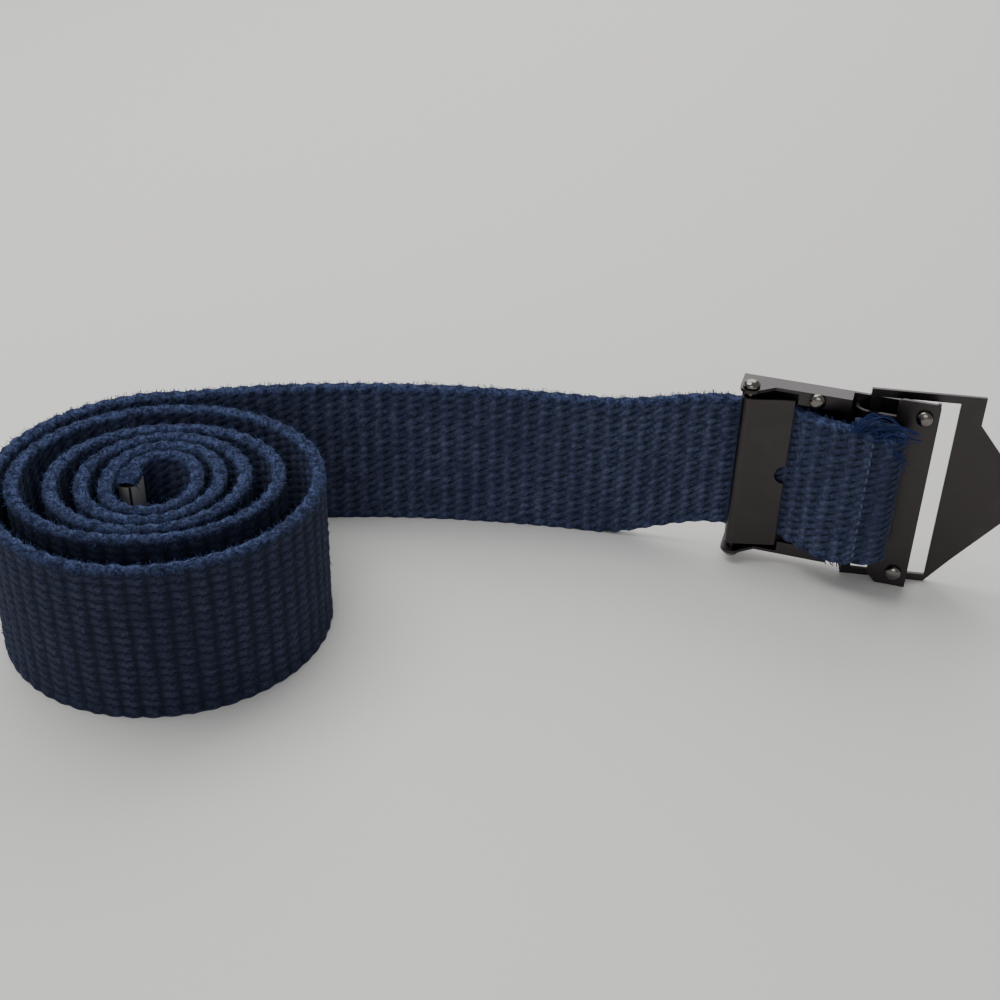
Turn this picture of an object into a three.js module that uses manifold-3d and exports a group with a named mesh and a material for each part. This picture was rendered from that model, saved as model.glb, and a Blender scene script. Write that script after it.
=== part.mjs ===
// Canvas web belt, rolled up and standing on one long edge, with a metal clamp
// buckle on one end and a folded metal tip on the other.
// Millimetres, +Z up. X runs along the belt from the roll to the buckle, Y runs
// from the body side of the buckle to its front. The whole belt stands on Z = 0,
// with the middle of its footprint at the origin.

import * as THREE from 'three';
import { mergeVertices } from 'three/addons/utils/BufferGeometryUtils.js';
import Module from 'manifold-3d';

const wasm = await Module();
wasm.setup();

// Clearance between pieces that do not share metal
const CLEARANCE = 0.3;
// How far a cutting body runs past the face that it cuts
const CUT_PAST = 1;
// Points of a face that lie this near each other are one point
const MERGE_WITHIN = 1e-4;
// Steps along a round corner, sides of a round piece and rings of a domed head
const CORNER_STEPS = 10;
const ROUND_SIDES = 20;
const DOME_RINGS = 5;

// Web
const WEB_WIDTH = 38;
const WEB_THICKNESS = 3;

// How far the clamp draws each long edge of the web in
const CLAMP_DRAW = 1.5;

// Roll: loose turns laid from the core outwards
const CORE_RADIUS = 10;
const TURN_GAP = 0.6;
const LOOSENESS = 8;
const DEGREES_PER_STEP = 10;
// The web's free end stops short of the first crossing by this many steps
const FREE_END_STEPS = 3;

// Where the innermost turn crosses the four sides of the roll, as shares of CORE_RADIUS
const CORE = { left: 0.5, far: 0.97, right: 0.95, near: 1.39 };

// Air between one turn and the next one out, as shares of LOOSENESS
const TURNS = [
  { left: 0.2, far: 0.05, right: 0.18, near: 0.0 },
  { left: 0.25, far: 0.05, right: 0.24, near: 0.0 },
  { left: 0.4, far: 0.05, right: 0.48, near: 0.0 },
  { left: 0.62, far: 0.71, right: 0.66, near: 0.92 },
  { left: 0.18, far: 0.4, right: 0, near: 0 },
];

// The order in which the web passes the four sides, from the tip outwards
const SIDES = ['left', 'far', 'right', 'near'];

// Free strip between roll and buckle; it leaves the floor past LIFT_START of its length
const STRIP_LEAVE = { length: 45, slope: 0.29 };
const STRIP_ARRIVE = 30;
const STRIP_STEPS = 30;
const LIFT_START = 0.75;

// Buckle: its pin stands here from the middle of the roll, turned about Z
const PIN_PLACE = { x: 135, y: 27.4 };
const BUCKLE_TURN = THREE.MathUtils.degToRad(-17.8);
const METAL = 0.8;

// Clamp: a round pin, and a flap rolled round it
const PIN_RADIUS = 0.8;
const PIN_HEAD_RADIUS = 2;
const PIN_HEAD_HEIGHT = 1.4;
const FLAP_METAL = 0.7;
// Room between each end of the flap and the frame's wall
const FLAP_ROOM = 1.7;
const FLAP_LENGTH = 10.5;
const FLAP_DIP = 2.9;
const FLAP_ROLL_END = THREE.MathUtils.degToRad(135);
const NOTCH_RADIUS = 2.4;

// Frame: a channel round the web with two turned-in lips
const WALL_ROOM = 3.1;
const FRAME_BACK = 2.6;
const FRAME_LENGTH = 23.2;
const LIP_START = 11;
const LIP_ROOM = 0.4;
const LIP_LEVEL = 1.4;
const EAR_RADIUS = 2.6;
const EAR_END = THREE.MathUtils.degToRad(330);
const EAR_FOOT = 5.5;

// Back bracket over the hinge bar of the front plate
const BRACKET_START = 33.4;
const BRACKET_WIDTH = 9.5;
// How far each end of the bar reaches past the frame's walls
const BRACKET_PAST = 2.4;
const BRACKET_LEVEL = 1;
const BRACKET_CORNER = 1.2;
const BRACKET_CUT = 2.4;
const TONGUE_START = 24;
const TONGUE_ROOM = 1.3;

// Front plate: a hinged frame with a window and a pointed end
const PLATE_METAL = 1;
// Room between the frame's walls and the arms of the plate
const PLATE_ROOM = 1.05;
const PLATE_START = 27;
const PLATE_BAR = 2.4;
const PLATE_ARM = 1.95;
const WINDOW_END = 47.3;
const PLATE_SHOULDER = 52.8;
const PLATE_CHAMFER = 7.3;
const PLATE_POINT = 68;
const PLATE_OPEN = THREE.MathUtils.degToRad(9.1);

// Rivets
const RIVET_HEAD_RADIUS = 1.9;
const RIVET_HEAD_HEIGHT = 1.2;
const RIVET_SHANK_RADIUS = 0.9;
const LIP_RIVET_PLACE = 15.4;
const BRACKET_RIVET_PLACE = 39.7;
// From the outside of the frame's walls in to the middle of each bracket rivet
const BRACKET_RIVET_EDGE = 1.4;

// Hem of the web behind the bracket end
const HEM_LENGTH = 8.5;
const HEM_END = 33;
const HEM_GAP = 0.6;
const HEM_ROUND = 2.5;
const HEM_RISE_START = 10.8;
const HEM_RISE_END = 25;
const HEM_RISE_EASE = 1.6;
const HEM_SWELL = 2;
// The hem's lower corner turns up by HEM_CORNER, from HEM_CORNER_START to the hem's end
const HEM_CORNER = 3;
const HEM_CORNER_START = 26;
const HEM_STEPS = { straight: 6, rise: 24, turn: 10 };

// Folded metal tip on the free end
const TIP_METAL = 0.6;
const TIP_LENGTH = 5.5;
const TIP_OVERLAP = 3;
// From each long edge of the web to the end of the tip
const TIP_INSET = 1.8;

// Levels that follow from the sizes above, in the buckle's own frame
const ROLL_RADIUS = PIN_RADIUS + CLEARANCE + FLAP_METAL;
const WEB_IN_BUCKLE = ROLL_RADIUS + CLEARANCE + WEB_THICKNESS / 2;
const BASE_NEAR = WEB_IN_BUCKLE + WEB_THICKNESS / 2 + CLEARANCE;
const BASE_FAR = BASE_NEAR + METAL;
const HEM_BACK = BRACKET_LEVEL - CLEARANCE - WEB_THICKNESS / 2;
const HEM_FRONT = HEM_BACK - WEB_THICKNESS - HEM_GAP;
const WALL_OUT = WEB_WIDTH / 2 + WALL_ROOM + METAL;
const WALL_IN = WALL_OUT - METAL;
const HINGE = {
  x: PLATE_START + PLATE_BAR / 2,
  y: (BRACKET_LEVEL + METAL + BASE_NEAR) / 2,
};
const BRACKET_END = BRACKET_START + BRACKET_WIDTH;

// Half heights of the buckle's pieces, measured from its middle
const FLAP_TOP = WALL_IN - FLAP_ROOM;
const TONGUE_TOP = WALL_IN - TONGUE_ROOM;
const BRACKET_TOP = WALL_OUT + BRACKET_PAST;
const BRACKET_RIVET_TOP = WALL_OUT - BRACKET_RIVET_EDGE;
const PLATE_INSIDE = WALL_OUT + PLATE_ROOM;
const PLATE_TOP = PLATE_INSIDE + PLATE_ARM;

// The buckle rests on the floor with the lower edge of its plate
const BUCKLE_LIFT = PLATE_TOP;
const WEB_LIFT = BUCKLE_LIFT - WEB_WIDTH / 2;

// Materials
const cotton = new THREE.MeshStandardMaterial({ color: 0x222c47, roughness: 0.95, metalness: 0 });
const gunmetal = new THREE.MeshStandardMaterial({ color: 0x4a4745, roughness: 0.4, metalness: 0.9 });
const polished = new THREE.MeshStandardMaterial({ color: 0x8d8a88, roughness: 0.2, metalness: 1 });
const nickel = new THREE.MeshStandardMaterial({ color: 0xb9b9b6, roughness: 0.25, metalness: 1 });

// Solids and joins

function toSolid(geometry) {
  const bare = geometry.clone();
  bare.deleteAttribute('normal');
  bare.deleteAttribute('uv');
  const merged = mergeVertices(bare, MERGE_WITHIN);
  return new wasm.Manifold(new wasm.Mesh({
    numProp: 3,
    vertProperties: new Float32Array(merged.attributes.position.array),
    triVerts: new Uint32Array(merged.index.array),
  }));
}

function toGeometry(body) {
  const mesh = body.getMesh();
  const geometry = new THREE.BufferGeometry();
  geometry.setAttribute('position', new THREE.BufferAttribute(new Float32Array(mesh.vertProperties), 3));
  geometry.setIndex(new THREE.BufferAttribute(new Uint32Array(mesh.triVerts), 1));
  geometry.computeVertexNormals();
  return geometry;
}

function named(name, geometry, material) {
  const mesh = new THREE.Mesh(geometry, material);
  mesh.name = name;
  return mesh;
}

function block(x0, x1, y0, y1, z0, z1) {
  const geometry = new THREE.BoxGeometry(x1 - x0, y1 - y0, z1 - z0);
  geometry.translate((x0 + x1) / 2, (y0 + y1) / 2, (z0 + z1) / 2);
  return toSolid(geometry);
}

// A plan outline drawn in X and Y, raised from z0 to z1
function raised(shape, z0, z1) {
  const settings = { depth: z1 - z0, bevelEnabled: false, curveSegments: CORNER_STEPS };
  const geometry = new THREE.ExtrudeGeometry(shape, settings);
  geometry.translate(0, 0, z0);
  return toSolid(geometry);
}

// An upright outline drawn in X and Z, given its thickness from y0 to y1
function upright(shape, y0, y1) {
  const settings = { depth: y1 - y0, bevelEnabled: false, curveSegments: CORNER_STEPS };
  const geometry = new THREE.ExtrudeGeometry(shape, settings);
  geometry.rotateX(Math.PI / 2);
  geometry.translate(0, y1, 0);
  return toSolid(geometry);
}

// A low dome on a shank along +Z, with its flat underside at Z = 0
function domeProfile(radius, height, shankRadius, shankLength) {
  const profile = [new THREE.Vector2(0, -shankLength), new THREE.Vector2(shankRadius, -shankLength)];
  profile.push(new THREE.Vector2(shankRadius, 0));
  for (let ring = 0; ring < DOME_RINGS; ring += 1) {
    const angle = (ring / DOME_RINGS) * (Math.PI / 2);
    profile.push(new THREE.Vector2(radius * Math.cos(angle), height * Math.sin(angle)));
  }
  profile.push(new THREE.Vector2(0, height));
  return profile;
}

// Route of the web

function crossings() {
  const pitch = WEB_THICKNESS + TURN_GAP;
  const last = TURNS.length * SIDES.length + 1;
  const radii = SIDES.map((side) => CORE[side] * CORE_RADIUS);
  for (let step = SIDES.length; step <= last; step += 1) {
    const turn = Math.floor(step / SIDES.length) - 1;
    const side = SIDES[step % SIDES.length];
    radii.push(radii[step - SIDES.length] + pitch + TURNS[turn][side] * LOOSENESS);
  }
  return radii;
}

// Radius between two crossings, by a smooth cubic through four of them
function radiusAt(radii, position) {
  const from = Math.min(Math.floor(position), radii.length - 2);
  const share = position - from;
  const before = radii[Math.max(from - 1, 0)];
  const start = radii[from];
  const end = radii[from + 1];
  const after = radii[Math.min(from + 2, radii.length - 1)];
  const leave = (end - before) / 2;
  const arrive = (after - start) / 2;
  const square = share * share;
  const cube = square * share;
  return start * (2 * cube - 3 * square + 1) + leave * (cube - 2 * square + share)
    + end * (3 * square - 2 * cube) + arrive * (cube - square);
}

function rollPoints() {
  const radii = crossings();
  const quarters = radii.length - 1;
  const steps = Math.round((quarters * 90) / DEGREES_PER_STEP);
  const points = [];
  for (let step = FREE_END_STEPS; step < steps; step += 1) {
    const position = (step / steps) * quarters;
    const angle = Math.PI - (position * Math.PI) / 2;
    const radius = radiusAt(radii, position);
    points.push(new THREE.Vector2(radius * Math.cos(angle), radius * Math.sin(angle)));
  }
  points.push(new THREE.Vector2(0, radii[quarters]));
  return points;
}

// The last of the free end runs straight on into the tip
function freeEnd(start, next) {
  const ahead = start.clone().sub(next).setLength(TIP_OVERLAP);
  return start.clone().add(ahead);
}

function fromBuckle(x, y) {
  const place = new THREE.Vector2(x, y).rotateAround(new THREE.Vector2(), BUCKLE_TURN);
  return place.add(new THREE.Vector2(PIN_PLACE.x, PIN_PLACE.y));
}

// Depth of the web in the buckle: flat under the flap, then up over the bracket,
// where its hem swells into an open loop
function webDepth(x) {
  const share = (x - HEM_RISE_START) / (HEM_RISE_END - HEM_RISE_START);
  const rise = 1 - (1 - Math.min(share, 1)) ** HEM_RISE_EASE;
  const swell = THREE.MathUtils.smoothstep(x, HEM_RISE_END, HEM_END);
  return THREE.MathUtils.lerp(WEB_IN_BUCKLE, HEM_FRONT, rise) - HEM_SWELL * swell;
}

function buckleRun() {
  const points = [];
  const { straight, rise, turn } = HEM_STEPS;
  for (let step = 0; step < straight; step += 1) {
    points.push([THREE.MathUtils.lerp(-FRAME_BACK, HEM_RISE_START, step / straight), WEB_IN_BUCKLE]);
  }
  for (let step = 0; step < rise; step += 1) {
    const x = THREE.MathUtils.lerp(HEM_RISE_START, HEM_END, step / rise);
    points.push([x, webDepth(x)]);
  }
  const middle = (webDepth(HEM_END) + HEM_BACK) / 2;
  const half = HEM_BACK - middle;
  for (let step = 0; step <= turn; step += 1) {
    const angle = -Math.PI / 2 + (step / turn) * Math.PI;
    points.push([HEM_END + HEM_ROUND * Math.cos(angle), middle + half * Math.sin(angle)]);
  }
  points.push([HEM_END - HEM_LENGTH, HEM_BACK]);
  return points.map(([x, y]) => fromBuckle(x, y));
}

function stripPoints(from, to) {
  const along = new THREE.Vector2(1, 0).rotateAround(new THREE.Vector2(), BUCKLE_TURN);
  const { length, slope } = STRIP_LEAVE;
  const leave = from.clone().add(new THREE.Vector2(length, length * slope));
  const arrive = to.clone().sub(along.multiplyScalar(STRIP_ARRIVE));
  const curve = new THREE.CubicBezierCurve(from, leave, arrive, to);
  return curve.getSpacedPoints(STRIP_STEPS).slice(1, -1);
}

// How far the web's lower and upper edges are drawn in at a place in the plan; grip is
// the share of CLAMP_DRAW that has been reached there
function drawnIn(place, grip) {
  const pin = new THREE.Vector2(PIN_PLACE.x, PIN_PLACE.y);
  const x = place.clone().rotateAround(pin, -BUCKLE_TURN).x - PIN_PLACE.x;
  const widened = THREE.MathUtils.smoothstep(x, HEM_RISE_START, HEM_RISE_END);
  const corner = THREE.MathUtils.smoothstep(x, HEM_CORNER_START, HEM_END + HEM_ROUND);
  return {
    low: CLAMP_DRAW * grip + HEM_CORNER * corner,
    high: CLAMP_DRAW * grip * (1 - widened),
  };
}

// Stations along the web: plan place, plan normal, and heights of its long edges
function webStations() {
  const curl = rollPoints();
  const roll = [freeEnd(curl[0], curl[1]), ...curl];
  const run = buckleRun();
  const strip = stripPoints(roll[roll.length - 1], run[0]);
  const points = [...roll, ...strip, ...run];
  const liftFrom = roll.length - 1;
  const liftTo = roll.length + strip.length;
  return points.map((point, index) => {
    const before = points[Math.max(index - 1, 0)];
    const after = points[Math.min(index + 1, points.length - 1)];
    const along = after.clone().sub(before).normalize();
    const share = THREE.MathUtils.clamp((index - liftFrom) / (liftTo - liftFrom), 0, 1);
    const risen = THREE.MathUtils.smoothstep(share, LIFT_START, 1);
    const { low, high } = drawnIn(point, risen);
    const lift = WEB_LIFT * risen;
    return {
      place: point,
      normal: new THREE.Vector2(-along.y, along.x),
      edges: [lift + low, lift + WEB_WIDTH - high],
    };
  });
}

// A band with square edges swept through its stations
function webGeometry() {
  const stations = webStations();
  const half = WEB_THICKNESS / 2;
  const corners = [[-half, 0], [half, 0], [half, 1], [-half, 1]];
  const positions = [];
  const faces = [];
  stations.forEach(({ place, normal, edges }) => {
    corners.forEach(([aside, edge]) => {
      positions.push(place.x + normal.x * aside, place.y + normal.y * aside, edges[edge]);
    });
  });
  const sides = corners.length;
  for (let station = 0; station + 1 < stations.length; station += 1) {
    for (let side = 0; side < sides; side += 1) {
      const here = station * sides + side;
      const beside = station * sides + ((side + 1) % sides);
      faces.push(here, beside, here + sides, beside, beside + sides, here + sides);
    }
  }
  const end = (stations.length - 1) * sides;
  faces.push(0, 2, 1, 0, 3, 2);
  faces.push(end, end + 1, end + 2, end, end + 2, end + 3);
  const geometry = new THREE.BufferGeometry();
  geometry.setAttribute('position', new THREE.Float32BufferAttribute(positions, 3));
  geometry.setIndex(faces);
  return geometry;
}

// Tip: a strip of metal folded over the free end, open above and below

function tipGeometry() {
  const inner = WEB_THICKNESS / 2 + CLEARANCE;
  const outer = inner + TIP_METAL;
  const reach = TIP_LENGTH - TIP_OVERLAP;
  const shape = new THREE.Shape();
  shape.moveTo(TIP_OVERLAP, outer);
  shape.lineTo(-reach + outer, outer);
  shape.absarc(-reach + outer, 0, outer, Math.PI / 2, (3 * Math.PI) / 2, false);
  shape.lineTo(TIP_OVERLAP, -outer);
  shape.lineTo(TIP_OVERLAP, -inner);
  shape.lineTo(-CLEARANCE, -inner);
  shape.lineTo(-CLEARANCE, inner);
  shape.lineTo(TIP_OVERLAP, inner);
  shape.closePath();
  return toGeometry(raised(shape, TIP_INSET, WEB_WIDTH - TIP_INSET));
}

function tip() {
  const [end, next] = webStations();
  const along = next.place.clone().sub(end.place);
  const mesh = named('web_tip', tipGeometry(), nickel);
  mesh.position.set(end.place.x, end.place.y, 0);
  mesh.rotation.z = along.angle();
  return mesh;
}

// Frame: base plate, two side walls with ears, two lips

function wallShape() {
  const shape = new THREE.Shape();
  shape.moveTo(-FRAME_BACK, BASE_FAR);
  shape.lineTo(-EAR_RADIUS, 0);
  shape.absarc(0, 0, EAR_RADIUS, Math.PI, EAR_END, false);
  shape.lineTo(EAR_FOOT, LIP_LEVEL);
  shape.lineTo(FRAME_LENGTH, LIP_LEVEL);
  shape.lineTo(FRAME_LENGTH, BASE_FAR);
  shape.closePath();
  const hole = new THREE.Path();
  hole.absarc(0, 0, PIN_RADIUS + CLEARANCE, 0, 2 * Math.PI, true);
  shape.holes.push(hole);
  return shape;
}

function frameGeometry() {
  const baseEnd = BRACKET_END - METAL - CLEARANCE;
  let body = block(-FRAME_BACK, baseEnd, BASE_NEAR, BASE_FAR, -WALL_OUT, WALL_OUT);
  body = body.add(raised(wallShape(), WALL_IN, WALL_OUT));
  body = body.add(raised(wallShape(), -WALL_OUT, -WALL_IN));
  const lipIn = WEB_WIDTH / 2 + LIP_ROOM;
  body = body.add(block(LIP_START, FRAME_LENGTH, LIP_LEVEL, LIP_LEVEL + METAL, lipIn, WALL_OUT));
  body = body.add(block(LIP_START, FRAME_LENGTH, LIP_LEVEL, LIP_LEVEL + METAL, -WALL_OUT, -lipIn));
  body = body.subtract(rivetHole(LIP_RIVET_PLACE, lipRivetHeight(), LIP_LEVEL, LIP_LEVEL + METAL));
  bracketRivetHeights().forEach((height) => {
    body = body.subtract(rivetHole(BRACKET_RIVET_PLACE, height, BASE_NEAR, BASE_FAR));
  });
  return toGeometry(body);
}

// Clamp flap: a plate whose left edge is rolled round the pin

function flapShape() {
  const inner = ROLL_RADIUS - FLAP_METAL;
  const lean = Math.atan2(FLAP_DIP, FLAP_LENGTH);
  const rollEnd = FLAP_ROLL_END;
  const shape = new THREE.Shape();
  shape.moveTo(ROLL_RADIUS * Math.cos(rollEnd), ROLL_RADIUS * Math.sin(rollEnd));
  shape.absarc(0, 0, ROLL_RADIUS, rollEnd, 1.5 * Math.PI + lean, false);
  shape.lineTo(FLAP_LENGTH, -ROLL_RADIUS + FLAP_DIP);
  shape.lineTo(FLAP_LENGTH - FLAP_METAL * Math.sin(lean), -ROLL_RADIUS + FLAP_DIP + FLAP_METAL);
  shape.lineTo(inner * Math.sin(lean), -inner * Math.cos(lean));
  shape.absarc(0, 0, inner, 1.5 * Math.PI + lean, rollEnd, true);
  shape.closePath();
  return shape;
}

function flapGeometry() {
  const notchLength = 2 * (ROLL_RADIUS + CUT_PAST);
  const notch = new THREE.CylinderGeometry(NOTCH_RADIUS, NOTCH_RADIUS, notchLength, ROUND_SIDES);
  notch.translate(FLAP_LENGTH, 0, 0);
  return toGeometry(raised(flapShape(), -FLAP_TOP, FLAP_TOP).subtract(toSolid(notch)));
}

function pinGeometry() {
  const headAt = WALL_OUT + CLEARANCE;
  const half = domeProfile(PIN_HEAD_RADIUS, PIN_HEAD_HEIGHT, PIN_RADIUS, 0).slice(2);
  const upper = half.map((point) => new THREE.Vector2(point.x, point.y + headAt));
  const lower = upper.map((point) => new THREE.Vector2(point.x, -point.y)).reverse();
  const geometry = new THREE.LatheGeometry([...lower, ...upper], ROUND_SIDES);
  geometry.rotateX(Math.PI / 2);
  return toGeometry(toSolid(geometry));
}

// Rivets stand on the near side of the sheet that they hold

function rivetHole(x, z, y0, y1) {
  const radius = RIVET_SHANK_RADIUS + CLEARANCE;
  const hole = new THREE.CylinderGeometry(radius, radius, y1 - y0 + 2 * CUT_PAST, ROUND_SIDES);
  hole.translate(x, (y0 + y1) / 2, z);
  return toSolid(hole);
}

function rivetGeometry(length) {
  const profile = domeProfile(RIVET_HEAD_RADIUS, RIVET_HEAD_HEIGHT, RIVET_SHANK_RADIUS, length);
  const geometry = new THREE.LatheGeometry(profile, ROUND_SIDES);
  geometry.rotateX(Math.PI);
  return toGeometry(toSolid(geometry));
}

function rivet(name, x, z, level, length) {
  const mesh = named(name, rivetGeometry(length + CLEARANCE), polished);
  mesh.position.set(x, level - CLEARANCE, z);
  return mesh;
}

function lipRivetHeight() {
  return (WEB_WIDTH / 2 + LIP_ROOM + WALL_OUT) / 2;
}

function bracketRivetHeights() {
  return [BRACKET_RIVET_TOP, -BRACKET_RIVET_TOP];
}

// Back bracket: bar, tongue round the hinge bar, and a return wall

function bracketBarShape() {
  const top = BRACKET_TOP;
  const corner = BRACKET_CORNER;
  const shape = new THREE.Shape();
  shape.moveTo(BRACKET_START, -top + BRACKET_CUT);
  shape.lineTo(BRACKET_START + BRACKET_CUT, -top);
  shape.lineTo(BRACKET_END, -top);
  shape.lineTo(BRACKET_END, top - corner);
  shape.absarc(BRACKET_END - corner, top - corner, corner, 0, Math.PI / 2, false);
  shape.lineTo(BRACKET_START + corner, top);
  shape.absarc(BRACKET_START + corner, top - corner, corner, Math.PI / 2, Math.PI, false);
  shape.closePath();
  return shape;
}

function tongueShape() {
  const outer = HINGE.x - TONGUE_START;
  const inner = outer - METAL;
  const depth = HINGE.y - BRACKET_LEVEL;
  const innerDepth = depth - METAL;
  const foot = BASE_NEAR - CLEARANCE;
  const shape = new THREE.Shape();
  shape.moveTo(BRACKET_START + METAL, BRACKET_LEVEL);
  shape.lineTo(BRACKET_START + METAL, BRACKET_LEVEL + METAL);
  shape.lineTo(HINGE.x, BRACKET_LEVEL + METAL);
  shape.absellipse(HINGE.x, HINGE.y, inner, innerDepth, 1.5 * Math.PI, Math.PI, true, 0);
  shape.lineTo(HINGE.x - inner, foot);
  shape.lineTo(TONGUE_START, foot);
  shape.lineTo(TONGUE_START, HINGE.y);
  shape.absellipse(HINGE.x, HINGE.y, outer, depth, Math.PI, 1.5 * Math.PI, false, 0);
  shape.closePath();
  return shape;
}

function bracketGeometry() {
  const wall = PLATE_INSIDE - 2 * CLEARANCE;
  let body = upright(bracketBarShape(), BRACKET_LEVEL, BRACKET_LEVEL + METAL);
  body = body.add(raised(tongueShape(), -TONGUE_TOP, TONGUE_TOP));
  body = body.add(block(BRACKET_END - METAL, BRACKET_END, BRACKET_LEVEL, BASE_FAR, -wall, wall));
  bracketRivetHeights().forEach((height) => {
    body = body.subtract(rivetHole(BRACKET_RIVET_PLACE, height, BRACKET_LEVEL, BRACKET_LEVEL + METAL));
  });
  return toGeometry(body);
}

// Front plate, drawn from its hinge axis

function plateShape() {
  const top = PLATE_TOP;
  const cut = PLATE_TOP - PLATE_CHAMFER;
  const left = PLATE_START - HINGE.x;
  const shoulder = PLATE_SHOULDER - HINGE.x;
  const shape = new THREE.Shape();
  shape.moveTo(left, -top);
  shape.lineTo(WINDOW_END - HINGE.x, -top);
  shape.lineTo(shoulder, -cut);
  shape.lineTo(PLATE_POINT - HINGE.x, 0);
  shape.lineTo(shoulder, cut);
  shape.lineTo(shoulder, top);
  shape.lineTo(left, top);
  shape.closePath();
  const window = new THREE.Path();
  window.moveTo(left + PLATE_BAR, -PLATE_INSIDE);
  window.lineTo(left + PLATE_BAR, PLATE_INSIDE);
  window.lineTo(WINDOW_END - HINGE.x, PLATE_INSIDE);
  window.lineTo(WINDOW_END - HINGE.x, -PLATE_INSIDE);
  window.closePath();
  shape.holes.push(window);
  return shape;
}

function frontPlate() {
  const geometry = toGeometry(upright(plateShape(), -PLATE_METAL / 2, PLATE_METAL / 2));
  const mesh = named('front_plate', geometry, gunmetal);
  mesh.position.set(HINGE.x, HINGE.y, 0);
  mesh.rotation.z = PLATE_OPEN;
  return mesh;
}

function buckle() {
  const group = new THREE.Group();
  group.position.set(PIN_PLACE.x, PIN_PLACE.y, BUCKLE_LIFT);
  group.rotation.z = BUCKLE_TURN;
  group.add(named('buckle_frame', frameGeometry(), gunmetal));
  group.add(named('clamp_flap', flapGeometry(), gunmetal));
  group.add(named('clamp_pin', pinGeometry(), polished));
  group.add(named('back_bracket', bracketGeometry(), gunmetal));
  group.add(frontPlate());
  group.add(rivet('lip_rivet', LIP_RIVET_PLACE, lipRivetHeight(), LIP_LEVEL, METAL));
  const [upper, lower] = bracketRivetHeights();
  const through = BASE_FAR - BRACKET_LEVEL;
  group.add(rivet('bracket_rivet_upper', BRACKET_RIVET_PLACE, upper, BRACKET_LEVEL, through));
  group.add(rivet('bracket_rivet_lower', BRACKET_RIVET_PLACE, lower, BRACKET_LEVEL, through));
  return group;
}

const group = new THREE.Group();
group.add(named('web_strap', webGeometry(), cotton));
group.add(tip());
group.add(buckle());

// The middle of the footprint goes to the origin
group.updateMatrixWorld(true);
const extent = new THREE.Box3().setFromObject(group, true);
const middle = extent.getCenter(new THREE.Vector3());
group.position.set(-middle.x, -middle.y, -extent.min.z);

export default group;
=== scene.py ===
# %% [markdown]
# # A canvas web belt, rolled up beside its clamp buckle
# The belt is one long band of navy cotton web. It stands on its long edge: a loose roll
# on the left, a free strip, and a gunmetal clamp buckle on the right, seen from the side
# that faces the body. The engineering model gives every size and place. This script only
# gives those pieces their finish, so each one stays where the frame has it.

# %% Load the frame
import math

import bmesh
import bpy
import numpy as np
from mathutils import Matrix, Vector


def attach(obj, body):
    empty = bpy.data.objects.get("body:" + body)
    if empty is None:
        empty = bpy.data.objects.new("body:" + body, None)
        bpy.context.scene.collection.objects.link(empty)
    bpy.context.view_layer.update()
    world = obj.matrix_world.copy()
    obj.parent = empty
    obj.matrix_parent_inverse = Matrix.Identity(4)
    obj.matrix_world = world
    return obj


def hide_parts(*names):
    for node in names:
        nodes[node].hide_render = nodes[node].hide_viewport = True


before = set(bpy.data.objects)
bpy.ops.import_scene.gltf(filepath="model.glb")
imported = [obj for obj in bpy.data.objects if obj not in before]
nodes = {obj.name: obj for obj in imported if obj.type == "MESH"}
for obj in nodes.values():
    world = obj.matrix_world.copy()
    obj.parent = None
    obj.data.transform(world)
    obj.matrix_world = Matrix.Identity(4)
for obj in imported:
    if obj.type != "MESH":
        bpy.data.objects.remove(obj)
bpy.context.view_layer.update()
MM = 0.001


def new_object(name, data):
    """An object at the origin, put into the scene."""
    made = bpy.data.objects.new(name, data)
    bpy.context.scene.collection.objects.link(made)
    return made


def triangles(piece):
    return sum(len(face.vertices) - 2 for face in piece.data.polygons)


# %% [markdown]
# The camera comes first, because it decides how fine the weave has to be. Its place,
# heading and tilt were fitted to the corners of the buckle and the rims of the roll.
# The picture leans a little to the right, as a hand-held one does.

# %% Camera
CAMERA_PLACE = Vector((-8.65, -273.41, 205.90)) * MM
CAMERA_HEADING = math.radians(0.61)
CAMERA_DOWN = math.radians(32.65)
CAMERA_LEAN = math.radians(1.49)
CAMERA_LENS = 51.59
SENSOR_WIDTH = 36
NEAREST_SEEN = 0.01


def make_camera():
    lens = bpy.data.cameras.new("camera")
    lens.lens = CAMERA_LENS
    lens.sensor_width = SENSOR_WIDTH
    lens.clip_start = NEAREST_SEEN
    camera = new_object("camera", lens)
    turn = Matrix.Rotation(-CAMERA_HEADING, 4, "Z")
    turn = turn @ Matrix.Rotation(math.pi / 2 - CAMERA_DOWN, 4, "X")
    turn = turn @ Matrix.Rotation(CAMERA_LEAN, 4, "Z")
    camera.matrix_world = Matrix.Translation(CAMERA_PLACE) @ turn
    bpy.context.scene.camera = camera
    return camera


camera = make_camera()
print("camera height in mm:", round(camera.location.z / MM, 1))

# %% [markdown]
# Shader trees and geometry trees are both graphs of nodes, so one small function serves
# for both. It makes a node, sets its options, and fills each input with a value or with
# a link. Colours are picked as sRGB hex codes and turned to the linear values that the
# renderer works in.

# %% Node and colour helpers
def add_node(tree, kind, inputs=None, **options):
    made = tree.nodes.new(kind)
    for name, value in options.items():
        setattr(made, name, value)
    for key, value in (inputs or {}).items():
        if isinstance(value, bpy.types.NodeSocket):
            tree.links.new(value, made.inputs[key])
        else:
            made.inputs[key].default_value = value
    return made


def linear(code):
    shares = [int(code[start:start + 2], 16) / 255 for start in (1, 3, 5)]
    bent = [x / 12.92 if x <= 0.04045 else ((x + 0.055) / 1.055) ** 2.4 for x in shares]
    return (*bent, 1.0)


def maths(tree, operation, first, second=0.0, third=0.0):
    inputs = {0: first, 1: second, 2: third}
    return add_node(tree, "ShaderNodeMath", inputs, operation=operation).outputs[0]


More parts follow.
